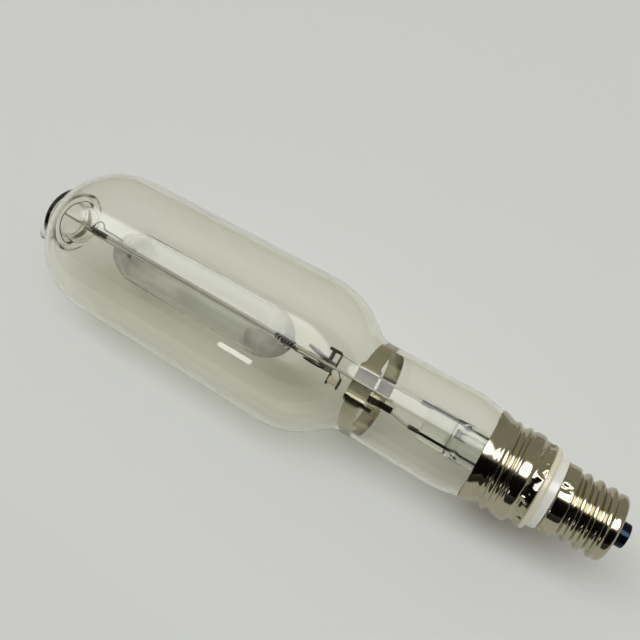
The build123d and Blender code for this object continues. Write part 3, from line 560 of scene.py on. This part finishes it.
def skinRings(bm, rings, capStart=True, capEnd=True):
    # Joins rings of equal count into a skin
    rows = [[bm.verts.new(p) for p in ring] for ring in rings]
    for row, after in zip(rows, rows[1:]):
        for k in range(len(row)):
            n = (k + 1) % len(row)
            bm.faces.new((row[k], row[n], after[n], after[k]))
    if capStart:
        bm.faces.new(rows[0])
    if capEnd:
        bm.faces.new(list(reversed(rows[-1])))
    return rows


def blended(one, two, power):
    return (one ** power + two ** power) ** (1 / power)


def quartzSection(along):
    # Half sizes near and feed, and the superellipse power: the round body's end blends into the flat pinch
    q = quartz
    inside = min(along - q["baseTipAt"], q["baseTipAt"] + q["length"] - along)
    short = q["radius"] - min(max(inside, 0.0), q["radius"])
    body = math.sqrt(q["radius"] ** 2 - short ** 2)
    halfNear = min(blended(body, q["pinchHalfWidth"], q["widthBlend"]), q["radius"])
    halfFeed = min(blended(body, q["pinchHalfThick"], q["thickBlend"]), q["radius"])
    power = 2 + q["squareness"] * (1 - smoothShare(inside, -1.0, 6.0))
    return halfNear, halfFeed, power


def buildArcTube():
    # Rings stand close where the body's ends turn into the pinches, and wide apart along the body
    q = quartz
    tipEnd = q["baseTipAt"] + q["length"]
    places = [q["basePinchAt"], q["basePinchAt"] + 0.25, q["basePinchAt"] + 0.8]
    places += [q["basePinchAt"] + 1.5 + k * 2.0 for k in range(10)]
    places += [q["baseTipAt"] - 1.5 + 0.5 * k for k in range(34)]
    places += [q["baseTipAt"] + 16 + k * (q["length"] - 32) / 14 for k in range(15)]
    places += [tipEnd - 15.5 + 0.5 * k for k in range(34)]
    places += [tipEnd + 2.5 + k * 2.0 for k in range(8)]
    places += [q["domePinchAt"] - 0.8, q["domePinchAt"] - 0.25, q["domePinchAt"]]
    bm = bmesh.new()
    rings = []
    for along in places:
        near, feed, power = quartzSection(along)
        inset = 0.0
        ends = min(along - q["basePinchAt"], q["domePinchAt"] - along)
        if ends < q["endReach"]:
            inset = q["endRound"] * (1 - ends / q["endReach"]) ** 2
        if along < q["baseTipAt"] - q["rippleFrom"] or along > tipEnd + q["rippleFrom"]:
            feed *= 1 + q["ripple"] * math.sin(along * q["ripplePace"])
        rings.append(ringPoints(along, near - inset, feed - inset, power, q["steps"]))
    skinRings(bm, rings)
    bore = q["radius"] - q["wall"]
    line = arcRun((q["baseTipAt"] + q["radius"], 0), bore, 180 - q["tipTurn"], 90, 18)
    line += arcRun((tipEnd - q["radius"], 0), bore, 90, q["tipTurn"], 18)
    hollow = bmesh.new()
    skinRings(hollow, [ringPoints(along, radius, radius, 2, q["steps"]) for along, radius in line])
    bmesh.ops.recalc_face_normals(hollow, faces=hollow.faces)
    bmesh.ops.recalc_face_normals(bm, faces=bm.faces)
    bmesh.ops.reverse_faces(hollow, faces=hollow.faces)
    keep = bpy.data.meshes.new("hollow")
    hollow.to_mesh(keep)
    hollow.free()
    bm.from_mesh(keep)
    bpy.data.meshes.remove(keep)
    finishPiece(bm, "arcTubeBlown", quartzGlass, ("arc_tube",), recalc=False)


# Heat-keeping coats: zirconia powder brushed over both ends of the arc tube, a matt translucent white
coat = {
    "ends": {"coatBaseEnd": (165.0, 181.5), "coatDomeEnd": (253.5, 270.0)},
    "rows": 26, "lift": 0.09, "layer": 0.05,
    "middle": 217.5, "thinAt": 37.0, "fullAt": 47.0, "cover": 0.5, "through": 0.6,
}
zirconiaCoat = mineralMaterial("zirconiaCoat", "#f4f4f1", "#eaeae5", 0.9, 3.0)


def buildCoat(name, start, end):
    # A thin layer that follows the quartz
    bm = bmesh.new()
    rings = []
    for k in range(coat["rows"] + 1):
        along = start + (end - start) * k / coat["rows"]
        near, feed, power = quartzSection(along)
        rings.append(ringPoints(along, near + coat["lift"], feed + coat["lift"], power, quartz["steps"]))
    skinRings(bm, rings, False, False)
    piece = finishPiece(bm, name, zirconiaCoat)
    layer = piece.modifiers.new("layer", "SOLIDIFY")
    layer.thickness = mm(coat["layer"])


def fadeCoat():
    # The powder lets light through, and thins out towards the middle of the tube
    tree = zirconiaCoat.node_tree
    place = addNode(tree, "ShaderNodeTexCoord").outputs["Object"]
    along = addNode(tree, "ShaderNodeSeparateXYZ", Vector=place).outputs["X"]
    shifted = addNode(tree, "ShaderNodeMath", {"operation": "ADD"}, i0=along, i1=mm(coat["middle"]))
    away = addNode(tree, "ShaderNodeMath", {"operation": "ABSOLUTE"}, i0=shifted.outputs["Value"])
    cover = addNode(tree, "ShaderNodeMapRange", {"interpolation_type": "SMOOTHSTEP"}, Value=away.outputs[0])
    cover.inputs["From Min"].default_value = mm(coat["thinAt"])
    cover.inputs["From Max"].default_value = mm(coat["fullAt"])
    cover.inputs["To Max"].default_value = coat["cover"]
    through = addNode(tree, "ShaderNodeBsdfTranslucent", Color=linear("#f6f6f2"))
    powder = addNode(
        tree, "ShaderNodeMixShader",
        i0=coat["through"], i1=tree.nodes["Principled BSDF"].outputs[0], i2=through.outputs[0],
    )
    bare = addNode(tree, "ShaderNodeBsdfTransparent")
    faded = addNode(
        tree, "ShaderNodeMixShader",
        i0=cover.outputs["Result"], i1=bare.outputs[0], i2=powder.outputs[0],
    )
    tree.links.new(faded.outputs[0], tree.nodes["Material Output"].inputs["Surface"])


fadeCoat()
buildArcTube()
for coatName, (coatStart, coatEnd) in coat["ends"].items():
    buildCoat(coatName, coatStart, coatEnd)
print("arc tube blown")

# Neck springs: bowed strips that brace the mount, the near one with a sunk seat for the long rod
springs = {
    "radius": 21.45, "thickness": 0.35, "width": 7.4, "nearAt": 115.3, "farAt": 113.0, "reach": 82.0,
    "seatHeight": 19.65, "seatHalf": 4.5, "slopeHalf": 6.1, "overhang": 1.3, "wideHalf": 9.0,
    "plainBelow": 12.0, "farRadius": 21.05,
}


def stripRows(bm, path, edges, columns=6):
    # A strip along a path of (near, feed) points; edges gives its start and end along the lamp there
    rows = []
    for near, feed in path:
        start, end = edges(near, feed)
        places = [start + (end - start) * k / columns for k in range(columns + 1)]
        rows.append([bm.verts.new(spot(along, near, feed)) for along in places])
    joinRows(bm, rows)


def joinRows(bm, rows):
    # Faces between neighbouring rows of equal length
    for row, after in zip(rows, rows[1:]):
        for k in range(len(row) - 1):
            bm.faces.new((row[k], row[k + 1], after[k + 1], after[k]))


def softenEdges(piece, width, angle):
    # Sheet and ceramic have no knife edges: a small round at each sharp one
    soft = piece.modifiers.new("edge", "BEVEL")
    soft.width = mm(width)
    soft.segments = 2
    soft.limit_method = "ANGLE"
    soft.angle_limit = math.radians(angle)


def thicken(piece, thickness, edge=0.08):
    # Sheet metal from a bare surface, half its thickness to each side
    sheet = piece.modifiers.new("sheet", "SOLIDIFY")
    sheet.thickness = mm(thickness)
    sheet.offset = 0.0
    softenEdges(piece, edge, 50)


def buildSprings():
    p = springs
    edgeTurn = math.degrees(math.asin(p["slopeHalf"] / p["radius"]))
    edgeNear = math.sqrt(p["radius"] ** 2 - p["slopeHalf"] ** 2)
    upper = arcRun((0, 0), p["radius"], -p["reach"], -edgeTurn, 40)
    seat = roundedRun(
        [(edgeNear, -p["slopeHalf"]), (p["seatHeight"], -p["seatHalf"]), (p["seatHeight"], p["seatHalf"]),
         (edgeNear, p["slopeHalf"])], [0.8, 0.8], 5,
    )
    path = upper[:-1] + seat + arcRun((0, 0), p["radius"], edgeTurn, p["reach"], 40)[1:]

    def nearEdges(near, feed):
        wide = p["overhang"] * (1 - smoothShare(abs(feed), p["wideHalf"] - 0.8, p["wideHalf"] + 0.6))
        if near < p["plainBelow"]:
            wide = 0.0
        return p["nearAt"] - wide, p["nearAt"] + p["width"] + wide

    bm = bmesh.new()
    stripRows(bm, path, nearEdges)
    near = finishPiece(bm, "neckSpringNear", springStrip, ("neck_spring_near",))
    thicken(near, p["thickness"])
    bm = bmesh.new()
    middle = p["farRadius"] - p["thickness"] / 2
    path = arcRun((0, 0), middle, 90, 270, 90)
    stripRows(bm, path, lambda near, feed: (p["farAt"], p["farAt"] + p["width"]))
    far = finishPiece(bm, "neckSpringFar", springStrip, ("neck_spring_far",))
    thicken(far, p["thickness"])


# Dome ring: a hoop sprung round the dimple, broad on the far side and drawn thin on the near side
domeStrip = {
    "radius": 11.2, "bulge": 2.1, "bulgeAt": 103.0, "bulgeReach": 26.0, "thickness": 0.35, "width": 3.0,
    "thin": 0.7, "thinFrom": -1.0, "broadFrom": 3.5, "at": 307.0, "steps": 120,
}


def buildDomeRing():
    d = domeStrip

    def hoopEdges(near, feed):
        share = smoothShare(-near, d["thinFrom"], d["broadFrom"])
        half = (d["thin"] + (d["width"] - d["thin"]) * share) / 2
        return d["at"] - half, d["at"] + half

    path = []
    for k in range(d["steps"] + 1):
        turn = 360 * k / d["steps"]
        fromNear = 180 - abs(180 - turn)
        radius = d["radius"] + d["bulge"] * math.exp(-((fromNear - d["bulgeAt"]) / d["bulgeReach"]) ** 2)
        path.append((radius * math.cos(math.radians(turn)), radius * math.sin(math.radians(turn))))
    bm = bmesh.new()
    stripRows(bm, path, hoopEdges, 4)
    thicken(finishPiece(bm, "domeRingBent", hoopStrip, ("dome_ring",)), d["thickness"])


# Pinch strap: two bowed plates that grip the arc tube's flat pinch, each a line of (along, feed) points
pinchStrap = {
    "away": [(140.6, -2.2), (143.0, -2.45), (146.0, -2.8), (149.0, -3.4), (152.2, -4.3)], "awayThick": 1.4,
    "toward": [(141.0, 1.95), (144.0, 2.45), (148.0, 2.45), (151.8, 2.1)], "towardThick": 0.8,
    "halfWidth": 8.6,
}


def buildStrapPlate(name, line, thickness):
    bm = bmesh.new()
    places = [pinchStrap["halfWidth"] * k / 4 for k in range(-4, 5)]
    joinRows(bm, [[bm.verts.new(spot(along, near, feed)) for near in places] for along, feed in line])
    thicken(finishPiece(bm, name, darkStrip, ("pinch_strap",)), thickness, 0.12)


# Coil stops: wire wound in an open coil round the long rod at each end of the quartz sleeve
coils = {
    "coilStopBase": {"node": "coil_stop_base", "start": 154.3, "end": 164.6, "turns": 6, "wire": 0.46},
    "coilStopDome": {"node": "coil_stop_dome", "start": 270.4, "end": 281.4, "turns": 6, "wire": 0.38},
}
winding = {"radius": 1.16, "steps": 26, "wireSides": 10}
longRod = {"startAt": 165.0, "length": 105.0, "nearAtStart": 18.03, "nearAtEnd": 16.2, "feed": -0.6}


def wireRing(here, side, up, wire):
    # A round section of wire at a place, square to side and up
    turns = (2 * math.pi * k / winding["wireSides"] for k in range(winding["wireSides"]))
    return [here + (side * math.cos(turn) + up * math.sin(turn)) * mm(wire) for turn in turns]


def buildCoil(name, c):
    count = c["turns"] * winding["steps"]

    def place(k):
        along = c["start"] + (c["end"] - c["start"]) * k / count
        share = (along - longRod["startAt"]) / longRod["length"]
        near = longRod["nearAtStart"] + (longRod["nearAtEnd"] - longRod["nearAtStart"]) * share
        turn = 2 * math.pi * k / winding["steps"]
        near += winding["radius"] * math.cos(turn)
        return spot(along, near, longRod["feed"] + winding["radius"] * math.sin(turn))

    rings = []
    for k in range(count + 1):
        tangent = (place(k + 0.5) - place(k - 0.5)).normalized()
        side = tangent.cross(Vector((1, 0, 0))).normalized()
        rings.append(wireRing(place(k), side, side.cross(tangent), c["wire"]))
    bm = bmesh.new()
    skinRings(bm, rings)
    finishPiece(bm, name, darkWire, (c["node"],))


# Getter: a wire loop standing beside the rod, its tail lying along the rod, as (along, feed) points
getter = {
    "wire": 0.36, "near": 16.3, "smoothing": 5,
    "line": [
        (281.4, -2.0), (280.8, -3.0), (280.5, -4.2), (279.2, -5.8), (277.5, -6.1), (275.7, -5.3),
        (274.8, -3.9), (273.0, -3.5), (270.0, -3.5), (267.3, -3.5), (264.0, -3.3), (261.5, -3.1),
    ],
}


def smoothLine(line, count):
    # A line through the same points, curved between each two by the neighbours before and after
    ends = [Vector(point) for point in [line[0]] + line + [line[-1]]]
    dense = []
    for p, q, r, s in zip(ends, ends[1:], ends[2:], ends[3:]):
        for t in (k / count for k in range(count)):
            bend = (p - 2.5 * q + 2 * r - s / 2) * t ** 2 + (1.5 * (q - r) + (s - p) / 2) * t ** 3
            dense.append(q + (r - p) * t / 2 + bend)
    return dense + [ends[-1]]


def buildGetter():
    line = smoothLine(getter["line"], getter["smoothing"])
    places = [spot(along, getter["near"], feed) for along, feed in line]
    out = spot(0, 1).normalized()
    rings = []
    for behind, here, ahead in zip(places[:1] + places, places, places[1:] + places[-1:]):
        side = (ahead - behind).normalized().cross(out)
        rings.append(wireRing(here, side, out, getter["wire"]))
    bm = bmesh.new()
    skinRings(bm, rings)
    finishPiece(bm, "getterLoop", darkWire, ("getter_loop", "getter_wire"))


buildSprings()
buildDomeRing()
buildStrapPlate("pinchStrapAway", pinchStrap["away"], pinchStrap["awayThick"])
buildStrapPlate("pinchStrapToward", pinchStrap["toward"], pinchStrap["towardThick"])
for coilName, coil in coils.items():
    buildCoil(coilName, coil)
buildGetter()
print("springs, ring and coils bent")

# Stem: a flared tube pinched flat round the wires, with the stub of the pump tube.
# The flare is given as (distance from the seal, radius).
stem = {
    "sealAt": 52.6, "flare": [(0.0, 14.5), (1.2, 14.3), (2.2, 12.6), (3.4, 10.6), (5.0, 9.4), (7.5, 9.0)],
    "radius": 9.0, "wall": 1.2, "sealWall": 1.8, "sealReach": 3.0, "tubeEndAt": 70.5, "pressAt": 79.0,
    "endAt": 91.0, "halfNear": 2.5, "halfFeed": 8.6, "squareness": 1.6, "endRound": 1.3, "endReach": 1.4,
    "wave": 0.22, "wavePace": 1.7, "gapHalfNear": 0.7, "gapHalfFeed": 6.4, "gapShort": 1.6, "steps": 72,
}
pumpTube = {"radius": 2.2, "bore": 1.5, "feed": -2.4, "places": [54.6, 60.0, 66.0, 72.0, 76.0], "steps": 28}


def buildStem():
    t = stem
    steps = t["steps"]
    flareEnd = t["sealAt"] + t["flare"][-1][0]
    tube = [flareEnd + (t["tubeEndAt"] - flareEnd) * k / 11 for k in range(1, 12)]
    outer = [ringPoints(t["sealAt"] + s, radius, radius, 2, steps) for s, radius in t["flare"]]
    outer += [ringPoints(along, t["radius"], t["radius"], 2, steps) for along in tube]
    for k in range(1, 15):
        share = smoothShare(k / 14, 0, 1)
        along = t["tubeEndAt"] + (t["pressAt"] - t["tubeEndAt"]) * k / 14
        near = t["radius"] + (t["halfNear"] - t["radius"]) * share
        feed = t["radius"] + (t["halfFeed"] - t["radius"]) * share
        outer.append(ringPoints(along, near, feed, 2 + t["squareness"] * share, steps))
    for k in range(1, 13):
        along = t["pressAt"] + (t["endAt"] - t["pressAt"]) * k / 12
        tip = max(0.0, (along - t["endAt"] + t["endReach"]) / t["endReach"])
        inset = t["endRound"] * (1 - math.sqrt(max(0.0, 1 - tip ** 2)))
        near = t["halfNear"] + t["wave"] * math.sin(along * t["wavePace"])
        outer.append(ringPoints(along, near - inset, t["halfFeed"] - inset, 2 + t["squareness"], steps))
    inner = []
    for s, radius in t["flare"]:
        bore = radius - (t["sealWall"] if s < t["sealReach"] else t["wall"])
        inner.append(ringPoints(t["sealAt"] + s, bore, bore, 2, steps))
    bore = t["radius"] - t["wall"]
    inner += [ringPoints(along, bore, bore, 2, steps) for along in tube]
    gapEnd = t["pressAt"] - t["gapShort"]
    for k in range(1, 13):
        share = smoothShare(k / 12, 0, 1)
        along = t["tubeEndAt"] + (gapEnd - t["tubeEndAt"]) * k / 12
        near, feed = bore + (t["gapHalfNear"] - bore) * share, bore + (t["gapHalfFeed"] - bore) * share
        inner.append(ringPoints(along, near, feed, 2, steps))
    bm = bmesh.new()
    outerRows = skinRings(bm, outer, False, True)
    innerRows = skinRings(bm, inner, False, True)
    for k in range(steps):
        n = (k + 1) % steps
        bm.faces.new((outerRows[0][k], outerRows[0][n], innerRows[0][n], innerRows[0][k]))
    pump = pumpTube
    off = spot(0, 0, pump["feed"])
    wall = [(along, pump["radius"]) for along in pump["places"]]
    wall += [(along, pump["bore"]) for along in reversed(pump["places"])]
    rings = []
    for along, radius in wall:
        rings.append([point + off for point in ringPoints(along, radius, radius, 2, pump["steps"])])
    skinRings(bm, rings + rings[:1], False, False)
    finishPiece(bm, "stemPressed", stemGlass, ("stem_press",))


buildStem()
print("stem pressed")

for nodeName in ("cross_post", "starter_clip_inner", "starter_clip_outer", "mount_bracket", "mount_tab"):
    softenEdges(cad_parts[nodeName], 0.07, 40)

# Scale left by firing makes the leads and the cross post a little stouter than clean wire
fired = {"press_wire_return": 0.12, "press_wire_feed": 0.12, "cross_post": 0.2}
for nodeName, growth in fired.items():
    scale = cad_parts[nodeName].modifiers.new("scale", "DISPLACE")
    scale.strength = mm(growth)
    scale.mid_level = 0.0

# Stage: a pale floor, and dark ground in front of it that shows only in the lamp's reflections
stage = {"floorDrop": 38.4, "floorSize": 6000.0, "floorColour": "#ebeded"}
ground = {"from": -0.12, "to": -2.0, "halfWidth": 1.6, "lift": 0.001, "colour": "#0d0c0b"}


def buildSheet(name, near, far, halfWidth, height, colour, roughness):
    # One flat face of the stage, from near to far across the view
    bm = bmesh.new()
    bmesh.ops.create_grid(bm, x_segments=1, y_segments=1, size=1.0)
    bmesh.ops.scale(bm, vec=(halfWidth, (far - near) / 2, 1.0), verts=bm.verts)
    bmesh.ops.translate(bm, vec=(0.0, (near + far) / 2, height), verts=bm.verts)
    data = bpy.data.meshes.new(name)
    bm.to_mesh(data)
    bm.free()
    sheet = bpy.data.objects.new(name, data)
    bpy.context.scene.collection.objects.link(sheet)
    material, tree = newMaterial(name + "Paint")
    skin = addNode(
        tree, "ShaderNodeBsdfPrincipled", Base_Color=linear(colour), Roughness=roughness, IOR=1.45,
    )
    shaderOut(tree, skin.outputs[0])
    data.materials.append(material)
    return sheet


floorHeight, floorHalf = -mm(stage["floorDrop"]), mm(stage["floorSize"]) / 2
buildSheet("paleFloor", -floorHalf, floorHalf, floorHalf, floorHeight, stage["floorColour"], 0.75)
card = buildSheet(
    "darkGround", ground["to"], ground["from"], ground["halfWidth"], floorHeight + ground["lift"],
    ground["colour"], 0.9,
)
card.visible_camera = False
card.visible_diffuse = False
card.visible_transmission = False
card.visible_shadow = False

# Room round the lamp: grey walls, dark on the camera's side, a bright lamp overhead and a small window.
# Dark and lamp are patches round a direction, drawn wide along the lamp. Angles are in degrees.
room = {
    "wall": "#a09d92", "behindCamera": "#d8d8d4", "breadth": 0.25,
    "dark": "#0e0c0b", "darkElevation": 16.0, "darkHalf": 39.0, "darkSoft": 4.0,
    "lamp": "#fdfefc", "lampLean": 17.0, "lampHalf": 16.0, "lampSoft": 3.0,
    "lampGlow": 2.4, "lampSparkle": 5.0, "lampInside": 1.7,
    "windowTurn": -113.0, "windowHalf": 1.9, "windowLow": -0.01, "windowHigh": 0.11, "windowGlow": 11.0,
}


def roomPatch(tree, place, direction, half, soft):
    # A round patch of the room: 1 inside, 0 outside, with a soft rim
    squarely = addNode(tree, "ShaderNodeVectorMath", {"operation": "DOT_PRODUCT"}, i0=place, i1=direction)
    rim = addNode(
        tree, "ShaderNodeMapRange", {"interpolation_type": "SMOOTHSTEP"}, Value=squarely.outputs["Value"],
    )
    rim.inputs["From Min"].default_value = math.cos(math.radians(half + soft))
    rim.inputs["From Max"].default_value = math.cos(math.radians(half - soft))
    return rim.outputs["Result"]


def lampStrength(tree, path):
    # The lamp sparkles on bare metal, and is dimmer in what is seen through the glass
    depth = path.outputs["Transmission Depth"]
    through = addNode(tree, "ShaderNodeMath", {"operation": "GREATER_THAN"}, i0=depth, i1=0.5)
    glint = addNode(tree, "ShaderNodeMapRange", Value=through.outputs["Value"])
    glint.inputs["To Min"].default_value = room["lampSparkle"]
    glint.inputs["To Max"].default_value = room["lampInside"]
    return addNode(
        tree, "ShaderNodeMix", {"data_type": "FLOAT"},
        i0=path.outputs["Is Glossy Ray"], i2=room["lampGlow"], i3=glint.outputs["Result"],
    ).outputs[0]


def windowShare(tree, path, place):
    # The window shows only in the first glance off the outer glass: every test has to hold
    turn = math.radians(room["windowTurn"])
    low, high = room["windowLow"], room["windowHigh"]
    ahead, aside = (math.cos(turn), math.sin(turn), 0.0), (-math.sin(turn), math.cos(turn), 0.0)
    toward = addNode(tree, "ShaderNodeVectorMath", {"operation": "DOT_PRODUCT"}, i0=place, i1=ahead)
    across = addNode(tree, "ShaderNodeVectorMath", {"operation": "DOT_PRODUCT"}, i0=place, i1=aside)
    height = addNode(tree, "ShaderNodeSeparateXYZ", Vector=place).outputs["Z"]
    tests = [
        (toward.outputs["Value"], 1.0, 0.3),
        (across.outputs["Value"], 0.0, math.sin(math.radians(room["windowHalf"]))),
        (height, (low + high) / 2, (high - low) / 2),
        (path.outputs["Transmission Depth"], 0.0, 0.5),
        (path.outputs["Glossy Depth"], 1.0, 0.5),
    ]
    shown = 1.0
    for value, centre, half in tests:
        test = addNode(tree, "ShaderNodeMath", {"operation": "COMPARE"}, i0=value, i1=centre, i2=half)
        both = addNode(tree, "ShaderNodeMath", {"operation": "MULTIPLY"}, i0=shown, i1=test.outputs[0])
        shown = both.outputs[0]
    return shown


def buildRoom():
    world = bpy.data.worlds.new("plainRoom")
    bpy.context.scene.world = world
    world.use_nodes = True
    tree = world.node_tree
    tree.nodes.clear()
    place = addNode(tree, "ShaderNodeTexCoord").outputs["Generated"]
    path = addNode(tree, "ShaderNodeLightPath")
    squeezed = addNode(
        tree, "ShaderNodeVectorMath", {"operation": "MULTIPLY"}, i0=place, i1=(room["breadth"], 1.0, 1.0),
    )
    wide = addNode(
        tree, "ShaderNodeVectorMath", {"operation": "NORMALIZE"}, i0=squeezed.outputs["Vector"],
    ).outputs["Vector"]
    up, lean = math.radians(room["darkElevation"]), math.radians(room["lampLean"])
    toDark, toLamp = (0.0, -math.cos(up), math.sin(up)), (0.0, -math.sin(lean), math.cos(lean))
    darkPatch = roomPatch(tree, wide, toDark, room["darkHalf"], room["darkSoft"])
    lampPatch = roomPatch(tree, wide, toLamp, room["lampHalf"], room["lampSoft"])
    walls = addNode(
        tree, "ShaderNodeMix", {"data_type": "RGBA"},
        Factor=darkPatch, i6=linear(room["wall"]), i7=linear(room["dark"]),
    )
    lights = [
        (lampPatch, linear(room["lamp"]), lampStrength(tree, path)),
        (windowShare(tree, path, place), linear(room["lamp"]), room["windowGlow"]),
        (path.outputs["Is Camera Ray"], linear(room["behindCamera"]), 1.0),
    ]
    seen = addNode(tree, "ShaderNodeBackground", Color=walls.outputs[2], Strength=1.0)
    for share, colour, strength in lights:
        glow = addNode(tree, "ShaderNodeBackground", Color=colour, Strength=strength)
        seen = addNode(tree, "ShaderNodeMixShader", i0=share, i1=seen.outputs[0], i2=glow.outputs[0])
    out = addNode(tree, "ShaderNodeOutputWorld")
    tree.links.new(seen.outputs[0], out.inputs["Surface"])


# A weak soft light overhead, that gives the floor its shadow and isn't mirrored in metal or glass
softLamp = {
    "place": (-0.08, -0.25, 0.95), "aim": (-0.1, -0.05, 0.0), "size": 0.5, "power": 0.3,
    "colour": "#fafdff",
}


def addLamp(name, settings):
    data = bpy.data.lights.new(name, "AREA")
    data.shape = "SQUARE"
    data.size = settings["size"]
    data.energy = settings["power"]
    data.color = linear(settings["colour"])[:3]
    light = bpy.data.objects.new(name, data)
    bpy.context.scene.collection.objects.link(light)
    light.location = settings["place"]
    light.visible_glossy = False
    light.visible_transmission = False
    light.rotation_euler = (Vector(settings["aim"]) - light.location).to_track_quat("-Z", "Y").to_euler()


buildRoom()
addLamp("softOverhead", softLamp)

# Camera, solved from the photograph's outlines: place in millimetres, and the spot that it looks at
view = {
    "place": (-62.05, -175.73, 228.82), "aimAlong": 156.5, "aimFeed": -17.0, "roll": 9.07,
    "lens": 36.0, "film": 36.0,
}
cameraData = bpy.data.cameras.new("photoView")
cameraData.lens = view["lens"]
cameraData.sensor_width = view["film"]
camera = bpy.data.objects.new("photoView", cameraData)
bpy.context.scene.collection.objects.link(camera)
camera.location = Vector(view["place"]) * milli
aim = spot(view["aimAlong"], 0, view["aimFeed"]) - camera.location
roll = Matrix.Rotation(math.radians(view["roll"]), 3, "Z").to_quaternion()
camera.rotation_mode = "QUATERNION"
camera.rotation_quaternion = aim.to_track_quat("-Z", "Y") @ roll
bpy.context.scene.camera = camera
bpy.context.scene.view_settings.view_transform = "Standard"
print("camera, light and floor placed")
